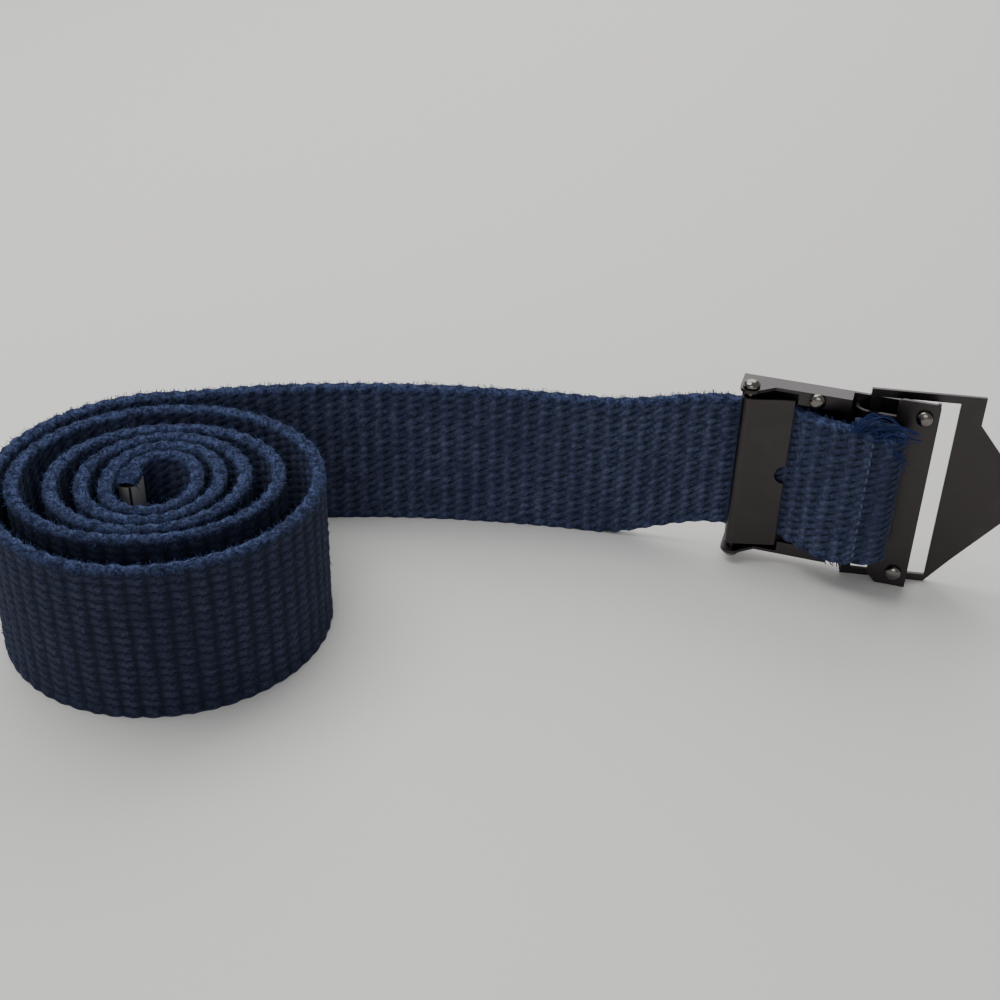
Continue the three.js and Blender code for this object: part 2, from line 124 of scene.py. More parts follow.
def new_material(name, **shader):
    material = bpy.data.materials.new(name)
    material.use_nodes = True
    tree = material.node_tree
    tree.nodes.clear()
    surface = add_node(tree, "ShaderNodeBsdfPrincipled", shader)
    add_node(tree, "ShaderNodeOutputMaterial", {"Surface": surface.outputs[0]})
    return material, tree, surface


print("linear navy:", [round(x, 4) for x in linear("#232c44")])

# %% [markdown]
# The floor is a plain pale sheet. Three large soft lights stand in for a bright room.
# The largest is low behind the belt, as a window is: it shines back from every surface
# that faces up, so the metal's upper edges and the web's rims are the lightest parts,
# and the faces turned to the viewer stay dark.

# %% Floor and light
FLOOR_SIZE = 6.0
FLOOR_COLOUR = "#dcdad6"
WORLD_COLOUR = "#e8ebf0"
WORLD_STRENGTH = 0.40
LIGHTS = [
    # name, place in metres, width in metres, power in watts
    ("window", (0.10, 0.92, 0.76), 1.0, 9.0),
    ("key", (-0.30, 0.15, 0.80), 0.6, 5.0),
    ("fill", (-0.15, -0.78, 0.45), 0.5, 1.8),
]


def make_floor():
    mesh = bpy.data.meshes.new("floor")
    half = FLOOR_SIZE / 2
    corners = [(-half, -half, 0), (half, -half, 0), (half, half, 0), (-half, half, 0)]
    mesh.from_pydata(corners, [], [(0, 1, 2, 3)])
    floor = new_object("floor", mesh)
    paper = new_material("matt_paper", **{"Base Color": linear(FLOOR_COLOUR), "Roughness": 0.9})[0]
    mesh.materials.append(paper)
    return floor


def make_light(name, place, width, power):
    lamp = bpy.data.lights.new(name, "AREA")
    lamp.shape = "SQUARE"
    lamp.size = width
    lamp.energy = power
    light = new_object(name, lamp)
    light.location = place
    light.rotation_euler = (-Vector(place)).to_track_quat("-Z", "Y").to_euler()


def make_world():
    world = bpy.data.worlds.new("soft_sky")
    world.use_nodes = True
    sky = world.node_tree.nodes["Background"]
    sky.inputs["Color"].default_value = linear(WORLD_COLOUR)
    sky.inputs["Strength"].default_value = WORLD_STRENGTH
    bpy.context.scene.world = world


make_floor()
make_world()
for light_row in LIGHTS:
    make_light(*light_row)
print("lights:", [row[0] for row in LIGHTS])

# %% [markdown]
# The web follows one flat route, lifted off the floor only where it nears the buckle.
# The roll is a spiral whose radius is set at the four sides of each turn and runs
# smoothly between them. The script repeats the route's rule from the engineering
# model, with finer steps, so that the cloth follows its solid.

# %% Route of the web: the roll
WEB_WIDTH = 38 * MM
WEB_THICKNESS = 3 * MM
ROLL_MIDDLE = np.array((-82.334, -4.183)) * MM
CORE_RADIUS = 10 * MM
TURN_PITCH = 3.6 * MM
LOOSENESS = 8 * MM
CORE = (0.5, 0.97, 0.95, 1.39)
TURNS = [
    # left, far, right, near: air to the next turn out, as shares of the looseness
    (0.20, 0.05, 0.18, 0.00),
    (0.25, 0.05, 0.24, 0.00),
    (0.40, 0.05, 0.48, 0.00),
    (0.62, 0.71, 0.66, 0.92),
    (0.18, 0.40, 0.00, 0.00),
]
TIP_OVERLAP = 3 * MM
TIP_INSET = 1.8 * MM
STEPS_PER_QUARTER = 45
FREE_END_STEPS = 15


def crossings():
    radii = [share * CORE_RADIUS for share in CORE]
    last = len(TURNS) * 4 + 1
    for step in range(4, last + 1):
        air = TURNS[step // 4 - 1][step % 4] * LOOSENESS
        radii.append(radii[step - 4] + TURN_PITCH + air)
    return radii


def radius_at(radii, position):
    start = min(int(position), len(radii) - 2)
    share = position - start
    before, here, there = radii[max(start - 1, 0)], radii[start], radii[start + 1]
    after = radii[min(start + 2, len(radii) - 1)]
    square, cube = share ** 2, share ** 3
    value = here * (2 * cube - 3 * square + 1) + there * (3 * square - 2 * cube)
    value += (there - before) / 2 * (cube - 2 * square + share)
    return value + (after - here) / 2 * (cube - square)


def roll_route():
    radii = crossings()
    quarters = len(radii) - 1
    points = []
    for step in range(FREE_END_STEPS, quarters * STEPS_PER_QUARTER + 1):
        position = step / STEPS_PER_QUARTER
        angle = math.pi - position * math.pi / 2
        radius = radius_at(radii, position)
        points.append((radius * math.cos(angle), radius * math.sin(angle)))
    points = np.array(points)
    inward = points[0] - points[1]
    start = points[0] + inward / np.linalg.norm(inward) * TIP_OVERLAP
    return np.vstack([[start], points]) + ROLL_MIDDLE


roll_line = roll_route()
print("roll reaches", np.round(np.ptp(roll_line, axis=0) / MM, 1), "mm")

# %% [markdown]
# In the buckle the web lies flat under the clamp flap, rises over the back bracket and
# doubles back in a swelling hem loop, whose lower corner turns up. The clamp draws both
# long edges in a little. The buckle has its own axes: x along the belt from the hinge
# pin, y away from the body, z up from its middle, turned and set in place as a whole.

# %% Route of the web: strip and hem
PIN = np.array((52.666, 23.217)) * MM
BUCKLE_TURN = math.radians(-17.8)
BUCKLE_MIDDLE = 25.9 * MM
WEB_LIFT = BUCKLE_MIDDLE - WEB_WIDTH / 2
ALONG_BUCKLE = np.array((math.cos(BUCKLE_TURN), math.sin(BUCKLE_TURN)))
ACROSS_BUCKLE = np.array((-math.sin(BUCKLE_TURN), math.cos(BUCKLE_TURN)))
WEB_LEVEL = 3.6 * MM
FRAME_BACK = 2.6 * MM
HEM_RISE = (10.8 * MM, 25 * MM)
HEM_EASE = 1.6
HEM_END = 33 * MM
HEM_FRONT = -4.4 * MM
HEM_BACK = -0.8 * MM
HEM_SWELL = 2 * MM
HEM_ROUND = 2.5 * MM
HEM_LENGTH = 8.5 * MM
HEM_CORNER = 3 * MM
HEM_CORNER_START = 26 * MM
STRIP_LEAVE = np.array((45, 13.05)) * MM
STRIP_ARRIVE = 30 * MM
LIFT_START = 0.75
CLAMP_DRAW = 1.5 * MM
STITCH_X = 29.6 * MM


def smooth(share):
    share = np.clip(share, 0, 1)
    return share * share * (3 - 2 * share)


def from_buckle(x, y):
    return PIN + x * ALONG_BUCKLE + y * ACROSS_BUCKLE


def web_depth(x):
    share = min((x - HEM_RISE[0]) / (HEM_RISE[1] - HEM_RISE[0]), 1)
    rise = 1 - (1 - share) ** HEM_EASE
    swell = smooth((x - HEM_RISE[1]) / (HEM_END - HEM_RISE[1]))
    return WEB_LEVEL + (HEM_FRONT - WEB_LEVEL) * rise - HEM_SWELL * swell


def buckle_route():
    points = [(x, WEB_LEVEL) for x in np.linspace(-FRAME_BACK, HEM_RISE[0], 8)[:-1]]
    points += [(x, web_depth(x)) for x in np.linspace(HEM_RISE[0], HEM_END, 60)[:-1]]
    middle = (web_depth(HEM_END) + HEM_BACK) / 2
    half = HEM_BACK - middle
    for angle in np.linspace(-math.pi / 2, math.pi / 2, 25):
        points.append((HEM_END + HEM_ROUND * math.cos(angle), middle + half * math.sin(angle)))
    points += [(x, HEM_BACK) for x in np.linspace(HEM_END, HEM_END - HEM_LENGTH, 6)[1:]]
    return np.array([from_buckle(*point) for point in points])


def drawn_in(place, risen):
    """How far the lower and the upper edge of the web are drawn in at a place in the plan."""
    x = (place - PIN) @ ALONG_BUCKLE
    widened = smooth((x - HEM_RISE[0]) / (HEM_RISE[1] - HEM_RISE[0]))
    corner = smooth((x - HEM_CORNER_START) / (HEM_END + HEM_ROUND - HEM_CORNER_START))
    return CLAMP_DRAW * risen + HEM_CORNER * corner, CLAMP_DRAW * risen * (1 - widened)


def strip_route(start, end, steps=120):
    leave, arrive = start + STRIP_LEAVE, end - ALONG_BUCKLE * STRIP_ARRIVE
    t = np.linspace(0, 1, steps + 1)[1:-1, None]
    back = 1 - t
    return back ** 3 * start + 3 * back ** 2 * t * leave + 3 * back * t ** 2 * arrive + t ** 3 * end


def lengths(points):
    return np.concatenate([[0], np.cumsum(np.linalg.norm(np.diff(points, axis=0), axis=1))])


hem_line = buckle_route()
strip_line = strip_route(roll_line[-1], hem_line[0])
route = np.vstack([roll_line, strip_line, hem_line])
route_at = lengths(route)
strip_from, strip_to = route_at[len(roll_line) - 1], route_at[len(roll_line) + len(strip_line)]
WEB_LENGTH = float(route_at[-1])
stitch_gaps = np.linalg.norm(route - from_buckle(STITCH_X, web_depth(STITCH_X)), axis=1)
STITCH_AT = float(route_at[np.argmin(stitch_gaps)])
print("web length in mm:", round(WEB_LENGTH / MM, 1))

# %% [markdown]
# A heavy cotton web is woven from thick yarns. Each face shows rows of short floats: a
# row every 2.1 mm across, a float every 4.1 mm along, and small dark holes where the
# yarns dive. The band is first made smooth, with just enough points to carry that
# relief: four for each float and three for each row. Over the metal tip the web's frayed
# upper rim spreads and hangs past the fold. Each point keeps where it lies along and
# across the web, as attributes that the weave and the material both read.

# %% The smooth band
FLOAT_LENGTH = 4.1 * MM
ROWS = 17
EDGE_ROUND = 1.0 * MM
ROW_PITCH = (WEB_WIDTH - 2 * EDGE_ROUND) / ROWS
POINTS_PER_FLOAT = 4
POINTS_PER_ROW = 3
EDGE_STEPS = 4
EDGE_SQUARE = 0.7
TIP_COVER = 4 * MM
FLAP_COVER = 14.5 * MM
HEM_COVER = 15 * MM
ROUGH_FUZZ = 2.0
END_FLARE = 0.9 * MM
END_OVERHANG = 3.6 * MM
RIM_TOP_WITHIN = 0.01 * MM
FLAP_MARGIN = 2 * MM
ON_RIM = 0.5
ON_FLOOR = -0.3


def rim_points():
    """Shares of half the thickness and of the rounding, over a rim from face to face."""
    angles = [math.pi * step / EDGE_STEPS for step in range(1, EDGE_STEPS)]
    return [(math.copysign(abs(math.cos(angle)) ** EDGE_SQUARE, math.cos(angle)),
             math.sin(angle) ** EDGE_SQUARE) for angle in angles]


def section():
    """Points round the web's section: sideways, up, side of the web, and share of rim."""
    half = WEB_THICKNESS / 2
    rows = ROWS * POINTS_PER_ROW
    ups = [EDGE_ROUND + ROW_PITCH * k / POINTS_PER_ROW for k in range(rows + 1)]
    points = [(half, up, 1, 0) for up in ups]
    for side, rise in rim_points():
        points.append((half * side, WEB_WIDTH - EDGE_ROUND * (1 - rise), side, rise))
    points += [(-half, up, -1, 0) for up in reversed(ups)]
    for side, rise in rim_points():
        points.append((-half * side, EDGE_ROUND * (1 - rise), -side, rise))
    return np.array(points)


def stations():
    """Place, sideways direction and heights of both edges at even steps along the web."""
    count = round(WEB_LENGTH / FLOAT_LENGTH) * POINTS_PER_FLOAT
    at = np.linspace(0, WEB_LENGTH, count + 1)
    place = np.stack([np.interp(at, route_at, route[:, k]) for k in (0, 1)], axis=1)
    ahead = np.gradient(place, axis=0)
    ahead /= np.linalg.norm(ahead, axis=1)[:, None]
    sideways = np.stack([-ahead[:, 1], ahead[:, 0]], axis=1)
    share = (at - strip_from) / (strip_to - strip_from)
    risen = smooth((share - LIFT_START) / (1 - LIFT_START))
    low, high = drawn_in(place, risen)
    return at, place, sideways, WEB_LIFT * risen + low, WEB_LIFT * risen + WEB_WIDTH - high


def store(mesh, name, values, kind="FLOAT", key="value"):
    attribute = mesh.attributes.new(name, kind, "POINT")
    attribute.data.foreach_set(key, np.asarray(values, dtype=np.float32).ravel())


def fuzz_share(at, side, rim):
    """How thickly fibres stand out: none under metal, inside the hem and on the floor side."""
    in_tip = (at < TIP_COVER) & (abs(rim) < ON_RIM)
    under_flap = (at > strip_to - FLAP_MARGIN) & (at < strip_to + FLAP_COVER)
    in_buckle = (at > strip_to) & (side > -0.5)
    folded_back = at > WEB_LENGTH - HEM_COVER
    on_floor = rim < ON_FLOOR
    rough = ((at > STITCH_AT) & (rim < ON_RIM)) | ((at < TIP_OVERLAP) & (rim > ON_RIM))
    share = np.where(rough, ROUGH_FUZZ, 1.0)
    hidden = in_tip | under_flap | (in_buckle & (rim < ON_RIM)) | folded_back | on_floor
    return np.where(hidden, 0.0, share)


def make_band():
    ring = section()
    at, place, sideways, low, high = stations()
    count, sides = len(at), len(ring)
    across = place[:, None] + sideways[:, None] * ring[None, :, 0, None]
    up = low[:, None] + (high - low)[:, None] * ring[None, :, 1] / WEB_WIDTH
    in_tip = at[:, None] < TIP_OVERLAP
    above_tip = ring[None, :, 1] > WEB_WIDTH - EDGE_ROUND - RIM_TOP_WITHIN
    flare = END_FLARE * ring[None, :, 2] * (in_tip & above_tip)
    across = across + sideways[:, None] * flare[..., None]
    onward = place[0] - place[1]
    across[0, above_tip[0]] += onward / np.linalg.norm(onward) * END_OVERHANG
    points = np.concatenate([across, up[..., None]], axis=2).reshape(-1, 3)
    here = np.arange(count - 1)[:, None] * sides + np.arange(sides)[None]
    beside = np.arange(count - 1)[:, None] * sides + (np.arange(sides)[None] + 1) % sides
    quads = np.stack([here, beside, beside + sides, here + sides], axis=2).reshape(-1, 4)
    ends = [list(range(sides))[::-1], list(range((count - 1) * sides, count * sides))]
    mesh = bpy.data.meshes.new("web_band")
    mesh.from_pydata(points.tolist(), [], quads.tolist() + ends)
    away = np.repeat(sideways, sides, axis=0) * np.tile(ring[:, 2], count)[:, None]
    rim_up = np.tile(np.where(ring[:, 1] > WEB_WIDTH / 2, ring[:, 3], -ring[:, 3]), count)
    store(mesh, "fuzz", fuzz_share(np.repeat(at, sides), np.tile(ring[:, 2], count), rim_up))
    store(mesh, "along", np.repeat(at, sides))
    store(mesh, "across", np.tile(ring[:, 1], count))
    store(mesh, "side", np.tile(ring[:, 2], count))
    store(mesh, "rim", rim_up)
    store(mesh, "outward", np.column_stack([away, rim_up]), "FLOAT_VECTOR", "vector")
    return new_object("web_band", mesh)


web_band = make_band()
print("band points:", len(web_band.data.vertices), "faces:", len(web_band.data.polygons))

# %% [markdown]
# Geometry Nodes then push every point of the band in or out by one rule. A cosine along
# the web finds the columns where the yarns dive, and a cosine across it finds the gaps
# between rows. Where both are high there is a hole. On the outside of the roll the bend
# opens the columns into furrows. Noise keeps two floats from being alike, and the rims
# bulge between the columns, which gives the long edges their scallops.

# %% Weave relief
HOLE_DEPTH = 0.16 * MM
ROW_DEPTH = 0.22 * MM
FURROW_DEPTH = 0.24 * MM
SCALLOP = 0.42 * MM
RIM_SWELL = 0.26 * MM
WAVER = 0.50 * MM
WAVER_SCALE = 560.0
SELVEDGE = 2.6 * MM
OUTER_FILLED = 0.7
STITCH_PINCH = 0.45 * MM
PINCH_WIDTH = 1.3 * MM
GROOVE_SHARES = (0.45, 0.55)
BULGE_LEVEL = 0.6


def named_input(tree, name, kind="FLOAT"):
    made = add_node(tree, "GeometryNodeInputNamedAttribute", {"Name": name}, data_type=kind)
    return made.outputs["Attribute"]


def group_tree(name, sizes, material=False):
    """A geometry tree with a mesh input and output and one named float input for each size."""
    tree = bpy.data.node_groups.new(name, "GeometryNodeTree")
    tree.interface.new_socket("Geometry", in_out="INPUT", socket_type="NodeSocketGeometry")
    tree.interface.new_socket("Geometry", in_out="OUTPUT", socket_type="NodeSocketGeometry")
    for size in sizes:
        tree.interface.new_socket(size, in_out="INPUT", socket_type="NodeSocketFloat")
    if material:
        tree.interface.new_socket("Material", in_out="INPUT", socket_type="NodeSocketMaterial")
    return tree, tree.nodes.new("NodeGroupInput"), tree.nodes.new("NodeGroupOutput")


def wave(tree, value, pitch):
    """1 at each whole pitch and 0 halfway between."""
    angle = maths(tree, "MULTIPLY", maths(tree, "DIVIDE", value, pitch), 2 * math.pi)
    return maths(tree, "MULTIPLY_ADD", maths(tree, "COSINE", angle), 0.5, 0.5)


def weave_tree():
    sizes = ["Float length", "Row pitch", "Hole depth", "Row depth", "Furrow depth",
             "Scallop", "Rim swell", "Waver", "Edge", "Stitch at", "Pinch"]
    tree, given, result = group_tree("weave_relief", sizes, material=True)
    size = given.outputs
    along, across = named_input(tree, "along"), named_input(tree, "across")
    side, rim = named_input(tree, "side"), named_input(tree, "rim")
    column = wave(tree, along, size["Float length"])
    from_edge = maths(tree, "SUBTRACT", across, size["Edge"])
    outside = maths(tree, "GREATER_THAN", side, 0.0)
    twill = maths(tree, "MULTIPLY", along, maths(tree, "SUBTRACT", 1.0, outside))
    twill = maths(tree, "MULTIPLY", twill, maths(tree, "DIVIDE", size["Row pitch"], size["Float length"]))
    row = wave(tree, maths(tree, "SUBTRACT", from_edge, twill), size["Row pitch"])
    face = maths(tree, "MULTIPLY", side, side)
    from_middle = maths(tree, "ABSOLUTE", maths(tree, "SUBTRACT", across, WEB_WIDTH / 2))
    edge_room = maths(tree, "SUBTRACT", WEB_WIDTH / 2, from_middle)
    inside = add_node(tree, "ShaderNodeMapRange", {0: edge_room, 1: 0.0, 2: SELVEDGE}).outputs[0]
    hole = maths(tree, "MULTIPLY", maths(tree, "MULTIPLY", column, row), size["Hole depth"])
    hole = maths(tree, "MULTIPLY", hole, maths(tree, "MULTIPLY_ADD", outside, -OUTER_FILLED, 1.0))
    groove = maths(tree, "MULTIPLY", maths(tree, "MULTIPLY", row, size["Row depth"]),
                   maths(tree, "MULTIPLY_ADD", column, *GROOVE_SHARES))
    furrow = maths(tree, "MULTIPLY", maths(tree, "MULTIPLY", column, size["Furrow depth"]), outside)
    depth = maths(tree, "ADD", maths(tree, "ADD", hole, groove), furrow)
    depth = maths(tree, "MULTIPLY", maths(tree, "MULTIPLY", depth, inside), face)
    swell = maths(tree, "MULTIPLY", maths(tree, "SUBTRACT", 1.0, inside), size["Rim swell"])
    noise = add_node(tree, "ShaderNodeTexNoise", {"Scale": WAVER_SCALE, "Detail": 1.0})
    waver = maths(tree, "MULTIPLY", maths(tree, "SUBTRACT", noise.outputs[0], 0.5), size["Waver"])
    bulge = maths(tree, "MULTIPLY", maths(tree, "SUBTRACT", BULGE_LEVEL, column), size["Scallop"])
    bulge = maths(tree, "MULTIPLY", bulge, maths(tree, "ABSOLUTE", rim))
    height = maths(tree, "SUBTRACT", maths(tree, "ADD", waver, bulge), depth)
    height = maths(tree, "ADD", height, swell)
    from_stitch = maths(tree, "ABSOLUTE", maths(tree, "SUBTRACT", along, size["Stitch at"]))
    pinch = add_node(tree, "ShaderNodeMapRange", {0: from_stitch, 1: 0.0, 2: PINCH_WIDTH, 3: 1.0, 4: 0.0},
                     interpolation_type="SMOOTHSTEP").outputs[0]
    height = maths(tree, "SUBTRACT", height, maths(tree, "MULTIPLY", pinch, size["Pinch"]))
    outward = named_input(tree, "outward", "FLOAT_VECTOR")
    push = add_node(tree, "ShaderNodeVectorMath", {0: outward, "Scale": height}, operation="SCALE")
    smooth_place = add_node(tree, "GeometryNodeInputPosition").outputs[0]
    pushed = add_node(tree, "ShaderNodeVectorMath", {0: smooth_place, 1: push.outputs[0]}, operation="ADD")
    above_floor = add_node(tree, "ShaderNodeVectorMath",
                           {0: pushed.outputs[0], 1: (-1.0, -1.0, 0.0)}, operation="MAXIMUM")
    moved = add_node(tree, "GeometryNodeSetPosition",
                     {"Geometry": given.outputs["Geometry"], "Position": above_floor.outputs[0]})
    soft = add_node(tree, "GeometryNodeSetShadeSmooth", {"Geometry": moved.outputs[0]})
    painted = add_node(tree, "GeometryNodeSetMaterial",
                       {"Geometry": soft.outputs[0], "Material": given.outputs["Material"]})
    whole = add_node(tree, "GeometryNodeRealizeInstances", {"Geometry": painted.outputs[0]})
    tree.links.new(whole.outputs[0], result.inputs[0])
    return tree


def run_nodes(obj, tree, values, name):
    """The plain mesh that a geometry tree makes of an object."""
    modifier = obj.modifiers.new("shape", "NODES")
    modifier.node_group = tree
    for socket in tree.interface.items_tree:
        if socket.in_out == "INPUT" and socket.name in values:
            modifier[socket.identifier] = values[socket.name]
    bpy.context.view_layer.update()
    graph = bpy.context.evaluated_depsgraph_get()
    mesh = bpy.data.meshes.new_from_object(obj.evaluated_get(graph))
    mesh.name = name
    bpy.data.objects.remove(obj)
    return new_object(name, mesh)


# %% [markdown]
# Cotton yarn scatters light between its loose fibres. It has no gloss, and fibres that
# stand proud catch light at a glancing angle, which is what the sheen does. The colour
# also carries painted light: the holes and grooves are painted much darker than the floats
# as painted shade, and the crests of the floats are painted lighter as a painted highlight.
# The faces are a dusty, greyed navy; the roll's outer face and the hem are painted darker
# as painted shade, and the rims, which face up to the light, are painted a clearer, lighter
# blue as painted light, mottled by specks. The slanted grooves and the plies of each
# yarn are finer than the mesh, so they come from the same two attributes as bump.

# %% Material: indigo cotton web
# YARN_DARK is painted shade: in the weave's holes, dashes and grooves, on the roll's outer face and on the
# hem.
YARN_DARK = "#0a0e1c"
YARN_SHADE = "#20273f"
YARN_LIGHT = "#545b77"
# The rim colours make the rims a lighter, clearer blue than the faces: painted light on the upward rims,
# mottled by specks.
RIM_DARK = "#121830"
RIM_LIGHT = "#404c70"
# The next two values darken the roll's outer face: painted shade.
OUTER_SHADE = 0.8
OUTER_PAINTED_SHADE = 0.50
# The next value darkens the hem past the stitches: painted shade.
HEM_PAINTED_SHADE = 0.25
# The next two rows set how much painted shade the grooves, dashes and valleys get on the inner and outer
# face; the same depth also drives the bump.
INNER_MARKS = (0.30, 0.48, 0.0)
OUTER_MARKS = (0.60, 0.0, 0.62)
DASH_RISE = (1.0, 0.25)
YARN_WANDER = 0.22
EDGE_FADE = 2.6 * MM
FIBRE_SIZE = 0.14 * MM
WANDER_SCALE = 330.0
LINT_SCALE = 1500.0
TUFT_SCALE = 620.0
FADE_SCALE = 60.0
RAGGED = 0.5
# The knuckle and crown values paint the crests of the floats lighter: painted highlight.
KNUCKLE_SHIFT = (0.4, 0.2)
KNUCKLE_SHARPNESS = 2.5
KNUCKLE_FILL = 0.55
CROWN_SHARE = 0.8


def shader_attribute(tree, name):
    return add_node(tree, "ShaderNodeAttribute", attribute_name=name).outputs["Fac"]


def mix(tree, share, first, second):
    return add_node(tree, "ShaderNodeMix", {0: share, 6: first, 7: second}, data_type="RGBA").outputs[2]


def remap(tree, value, low, high, to_low=0.0, to_high=1.0):
    inputs = {0: value, 1: low, 2: high, 3: to_low, 4: to_high}
    return add_node(tree, "ShaderNodeMapRange", inputs).outputs[0]


def yarn_cells(tree):
    """Where a point lies in the weave: columns, rows, and 1 on the outer face or 0 on the inner."""
    outer = maths(tree, "GREATER_THAN", shader_attribute(tree, "side"), 0.0)
    place = add_node(tree, "ShaderNodeTexCoord").outputs["Object"]
    wander = add_node(tree, "ShaderNodeTexNoise", {"Vector": place, "Scale": WANDER_SCALE, "Detail": 1.0})
    drift = add_node(tree, "ShaderNodeSeparateColor", {0: wander.outputs["Color"]})
    column = maths(tree, "DIVIDE", shader_attribute(tree, "along"), FLOAT_LENGTH)
    column = maths(tree, "MULTIPLY_ADD", drift.outputs[0], YARN_WANDER, column)
    column = maths(tree, "SUBTRACT", column, YARN_WANDER / 2)
    off_column = maths(tree, "SUBTRACT", column, maths(tree, "ROUND", column))
    inner_rise, outer_rise = DASH_RISE
    rise = maths(tree, "MULTIPLY_ADD", outer, inner_rise + outer_rise, -inner_rise)
    from_edge = maths(tree, "SUBTRACT", shader_attribute(tree, "across"), EDGE_ROUND)
    row = maths(tree, "MULTIPLY_ADD", off_column, rise, maths(tree, "DIVIDE", from_edge, ROW_PITCH))
    row = maths(tree, "MULTIPLY_ADD", drift.outputs[1], YARN_WANDER, row)
    return place, column, row, outer


def yarn_chance(tree, column, row, outer):
    """A random share that is the same all over one float."""
    cell = add_node(tree, "ShaderNodeCombineXYZ", {
        "X": maths(tree, "ROUND", column), "Y": maths(tree, "FLOOR", row), "Z": outer})
    return add_node(tree, "ShaderNodeTexWhiteNoise", {"Vector": cell.outputs[0]}).outputs["Value"]


def cotton_material():
    material, tree, surface = new_material("indigo_cotton_web", **{
        "Roughness": 0.95, "IOR": 1.47, "Specular IOR Level": 0.2,
        "Sheen Weight": 0.12, "Sheen Roughness": 0.5, "Sheen Tint": linear("#8fa0c8")})
    place, column, row, outer = yarn_cells(tree)
    rim = maths(tree, "ABSOLUTE", shader_attribute(tree, "rim"))
    lint, tufts, fade = [
        add_node(tree, "ShaderNodeTexNoise", {"Vector": place, "Scale": scale, "Detail": detail}).outputs[0]
        for scale, detail in ((LINT_SCALE, 3.0), (TUFT_SCALE, 4.0), (FADE_SCALE, 2.0))]
    ragged = maths(tree, "MULTIPLY_ADD", lint, RAGGED, -RAGGED / 2)
    dive = wave(tree, maths(tree, "ADD", column, ragged), 1.0)
    between = wave(tree, maths(tree, "ADD", row, ragged), 1.0)
    strengths = [maths(tree, "MULTIPLY_ADD", outer, outer_mark - inner_mark, inner_mark)
                 for inner_mark, outer_mark in zip(INNER_MARKS, OUTER_MARKS)]
    uneven = remap(tree, tufts, 0.3, 0.7, 0.55, 1.25)
    groove = maths(tree, "MULTIPLY", maths(tree, "POWER", between, 2.6), strengths[0])
    groove = maths(tree, "MULTIPLY", groove, uneven)
    dash = maths(tree, "MULTIPLY", maths(tree, "POWER", between, 2.2), maths(tree, "POWER", dive, 1.1))
    valley = maths(tree, "MULTIPLY", maths(tree, "POWER", dive, 2.0), strengths[2])
    depth = maths(tree, "MAXIMUM", maths(tree, "MULTIPLY_ADD", dash, strengths[1], groove), valley)
    depth = maths(tree, "MULTIPLY", depth, maths(tree, "SUBTRACT", 1.0, rim))
    flow = add_node(tree, "ShaderNodeCombineXYZ", {
        "X": maths(tree, "MULTIPLY", column, FLOAT_LENGTH / (5 * FIBRE_SIZE)),
        "Y": maths(tree, "MULTIPLY", row, ROW_PITCH / FIBRE_SIZE), "Z": maths(tree, "MULTIPLY", outer, 7.0)})
    fibres = add_node(tree, "ShaderNodeTexNoise",
                      {"Vector": flow.outputs[0], "Scale": 1.0, "Detail": 3.0, "Roughness": 0.65}).outputs[0]
    # Painted highlight: the knuckle on the inner face and the crown on the outer face lighten the crest of
    # each float.
    knuckle = wave(tree, maths(tree, "ADD", column, KNUCKLE_SHIFT[0]), 1.0)
    knuckle = maths(tree, "POWER", knuckle, KNUCKLE_SHARPNESS)
    knuckle = maths(tree, "MULTIPLY", knuckle, wave(tree, maths(tree, "ADD", row, KNUCKLE_SHIFT[1]), 1.0))
    crown = maths(tree, "MULTIPLY", maths(tree, "SUBTRACT", 1.0, dive), maths(tree, "SUBTRACT", 1.0, between))
    crown = maths(tree, "MULTIPLY", maths(tree, "MULTIPLY", crown, outer), CROWN_SHARE)
    knuckle = maths(tree, "MULTIPLY_ADD", maths(tree, "SUBTRACT", 1.0, outer), knuckle, crown)
    depth = maths(tree, "MULTIPLY", depth, maths(tree, "MULTIPLY_ADD", knuckle, -KNUCKLE_FILL, 1.0))
    chance = yarn_chance(tree, column, row, outer)
    knuckle = maths(tree, "MULTIPLY", knuckle, remap(tree, chance, 0.0, 1.0, 0.15, 0.65))
    bright = maths(tree, "ADD", remap(tree, fibres, 0.38, 0.66, 0.0, 0.55), knuckle)
    bright = maths(tree, "MULTIPLY_ADD", maths(tree, "SUBTRACT", tufts, 0.5), 1.3, bright)
    bright = maths(tree, "MULTIPLY_ADD", maths(tree, "SUBTRACT", lint, 0.5), 0.8, bright)
    bright = maths(tree, "MULTIPLY", bright, remap(tree, fade, 0.35, 0.65, 1.15, 0.75))
    # Painted shade: the floats on the outer face are made darker.
    bright = maths(tree, "MULTIPLY", bright, maths(tree, "MULTIPLY_ADD", outer, OUTER_SHADE - 1, 1.0))
    top = mix(tree, bright, linear(YARN_SHADE), linear(YARN_LIGHT))
    # Painted light: the rims, and a band of the faces beside them, are painted a lighter, clearer blue,
    # mottled by specks.
    speck = maths(tree, "MULTIPLY_ADD", lint, 0.5, maths(tree, "MULTIPLY", tufts, 0.5))
    wear_and_rim_light = mix(tree, remap(tree, speck, 0.42, 0.58), linear(RIM_DARK), linear(RIM_LIGHT))
    from_middle = maths(tree, "SUBTRACT", shader_attribute(tree, "across"), WEB_WIDTH / 2)
    from_middle = maths(tree, "ABSOLUTE", from_middle)
    near_edge = remap(tree, from_middle, WEB_WIDTH / 2 - EDGE_FADE, WEB_WIDTH / 2, 0.0, 0.7)
    top = mix(tree, maths(tree, "MAXIMUM", maths(tree, "POWER", rim, 0.6), near_edge), top, wear_and_rim_light)
    # Painted shade: the weave's holes, dashes and grooves are mixed towards the dark yarn colour.
    colour = mix(tree, remap(tree, depth, 0.08, 0.8), top, linear(YARN_DARK))
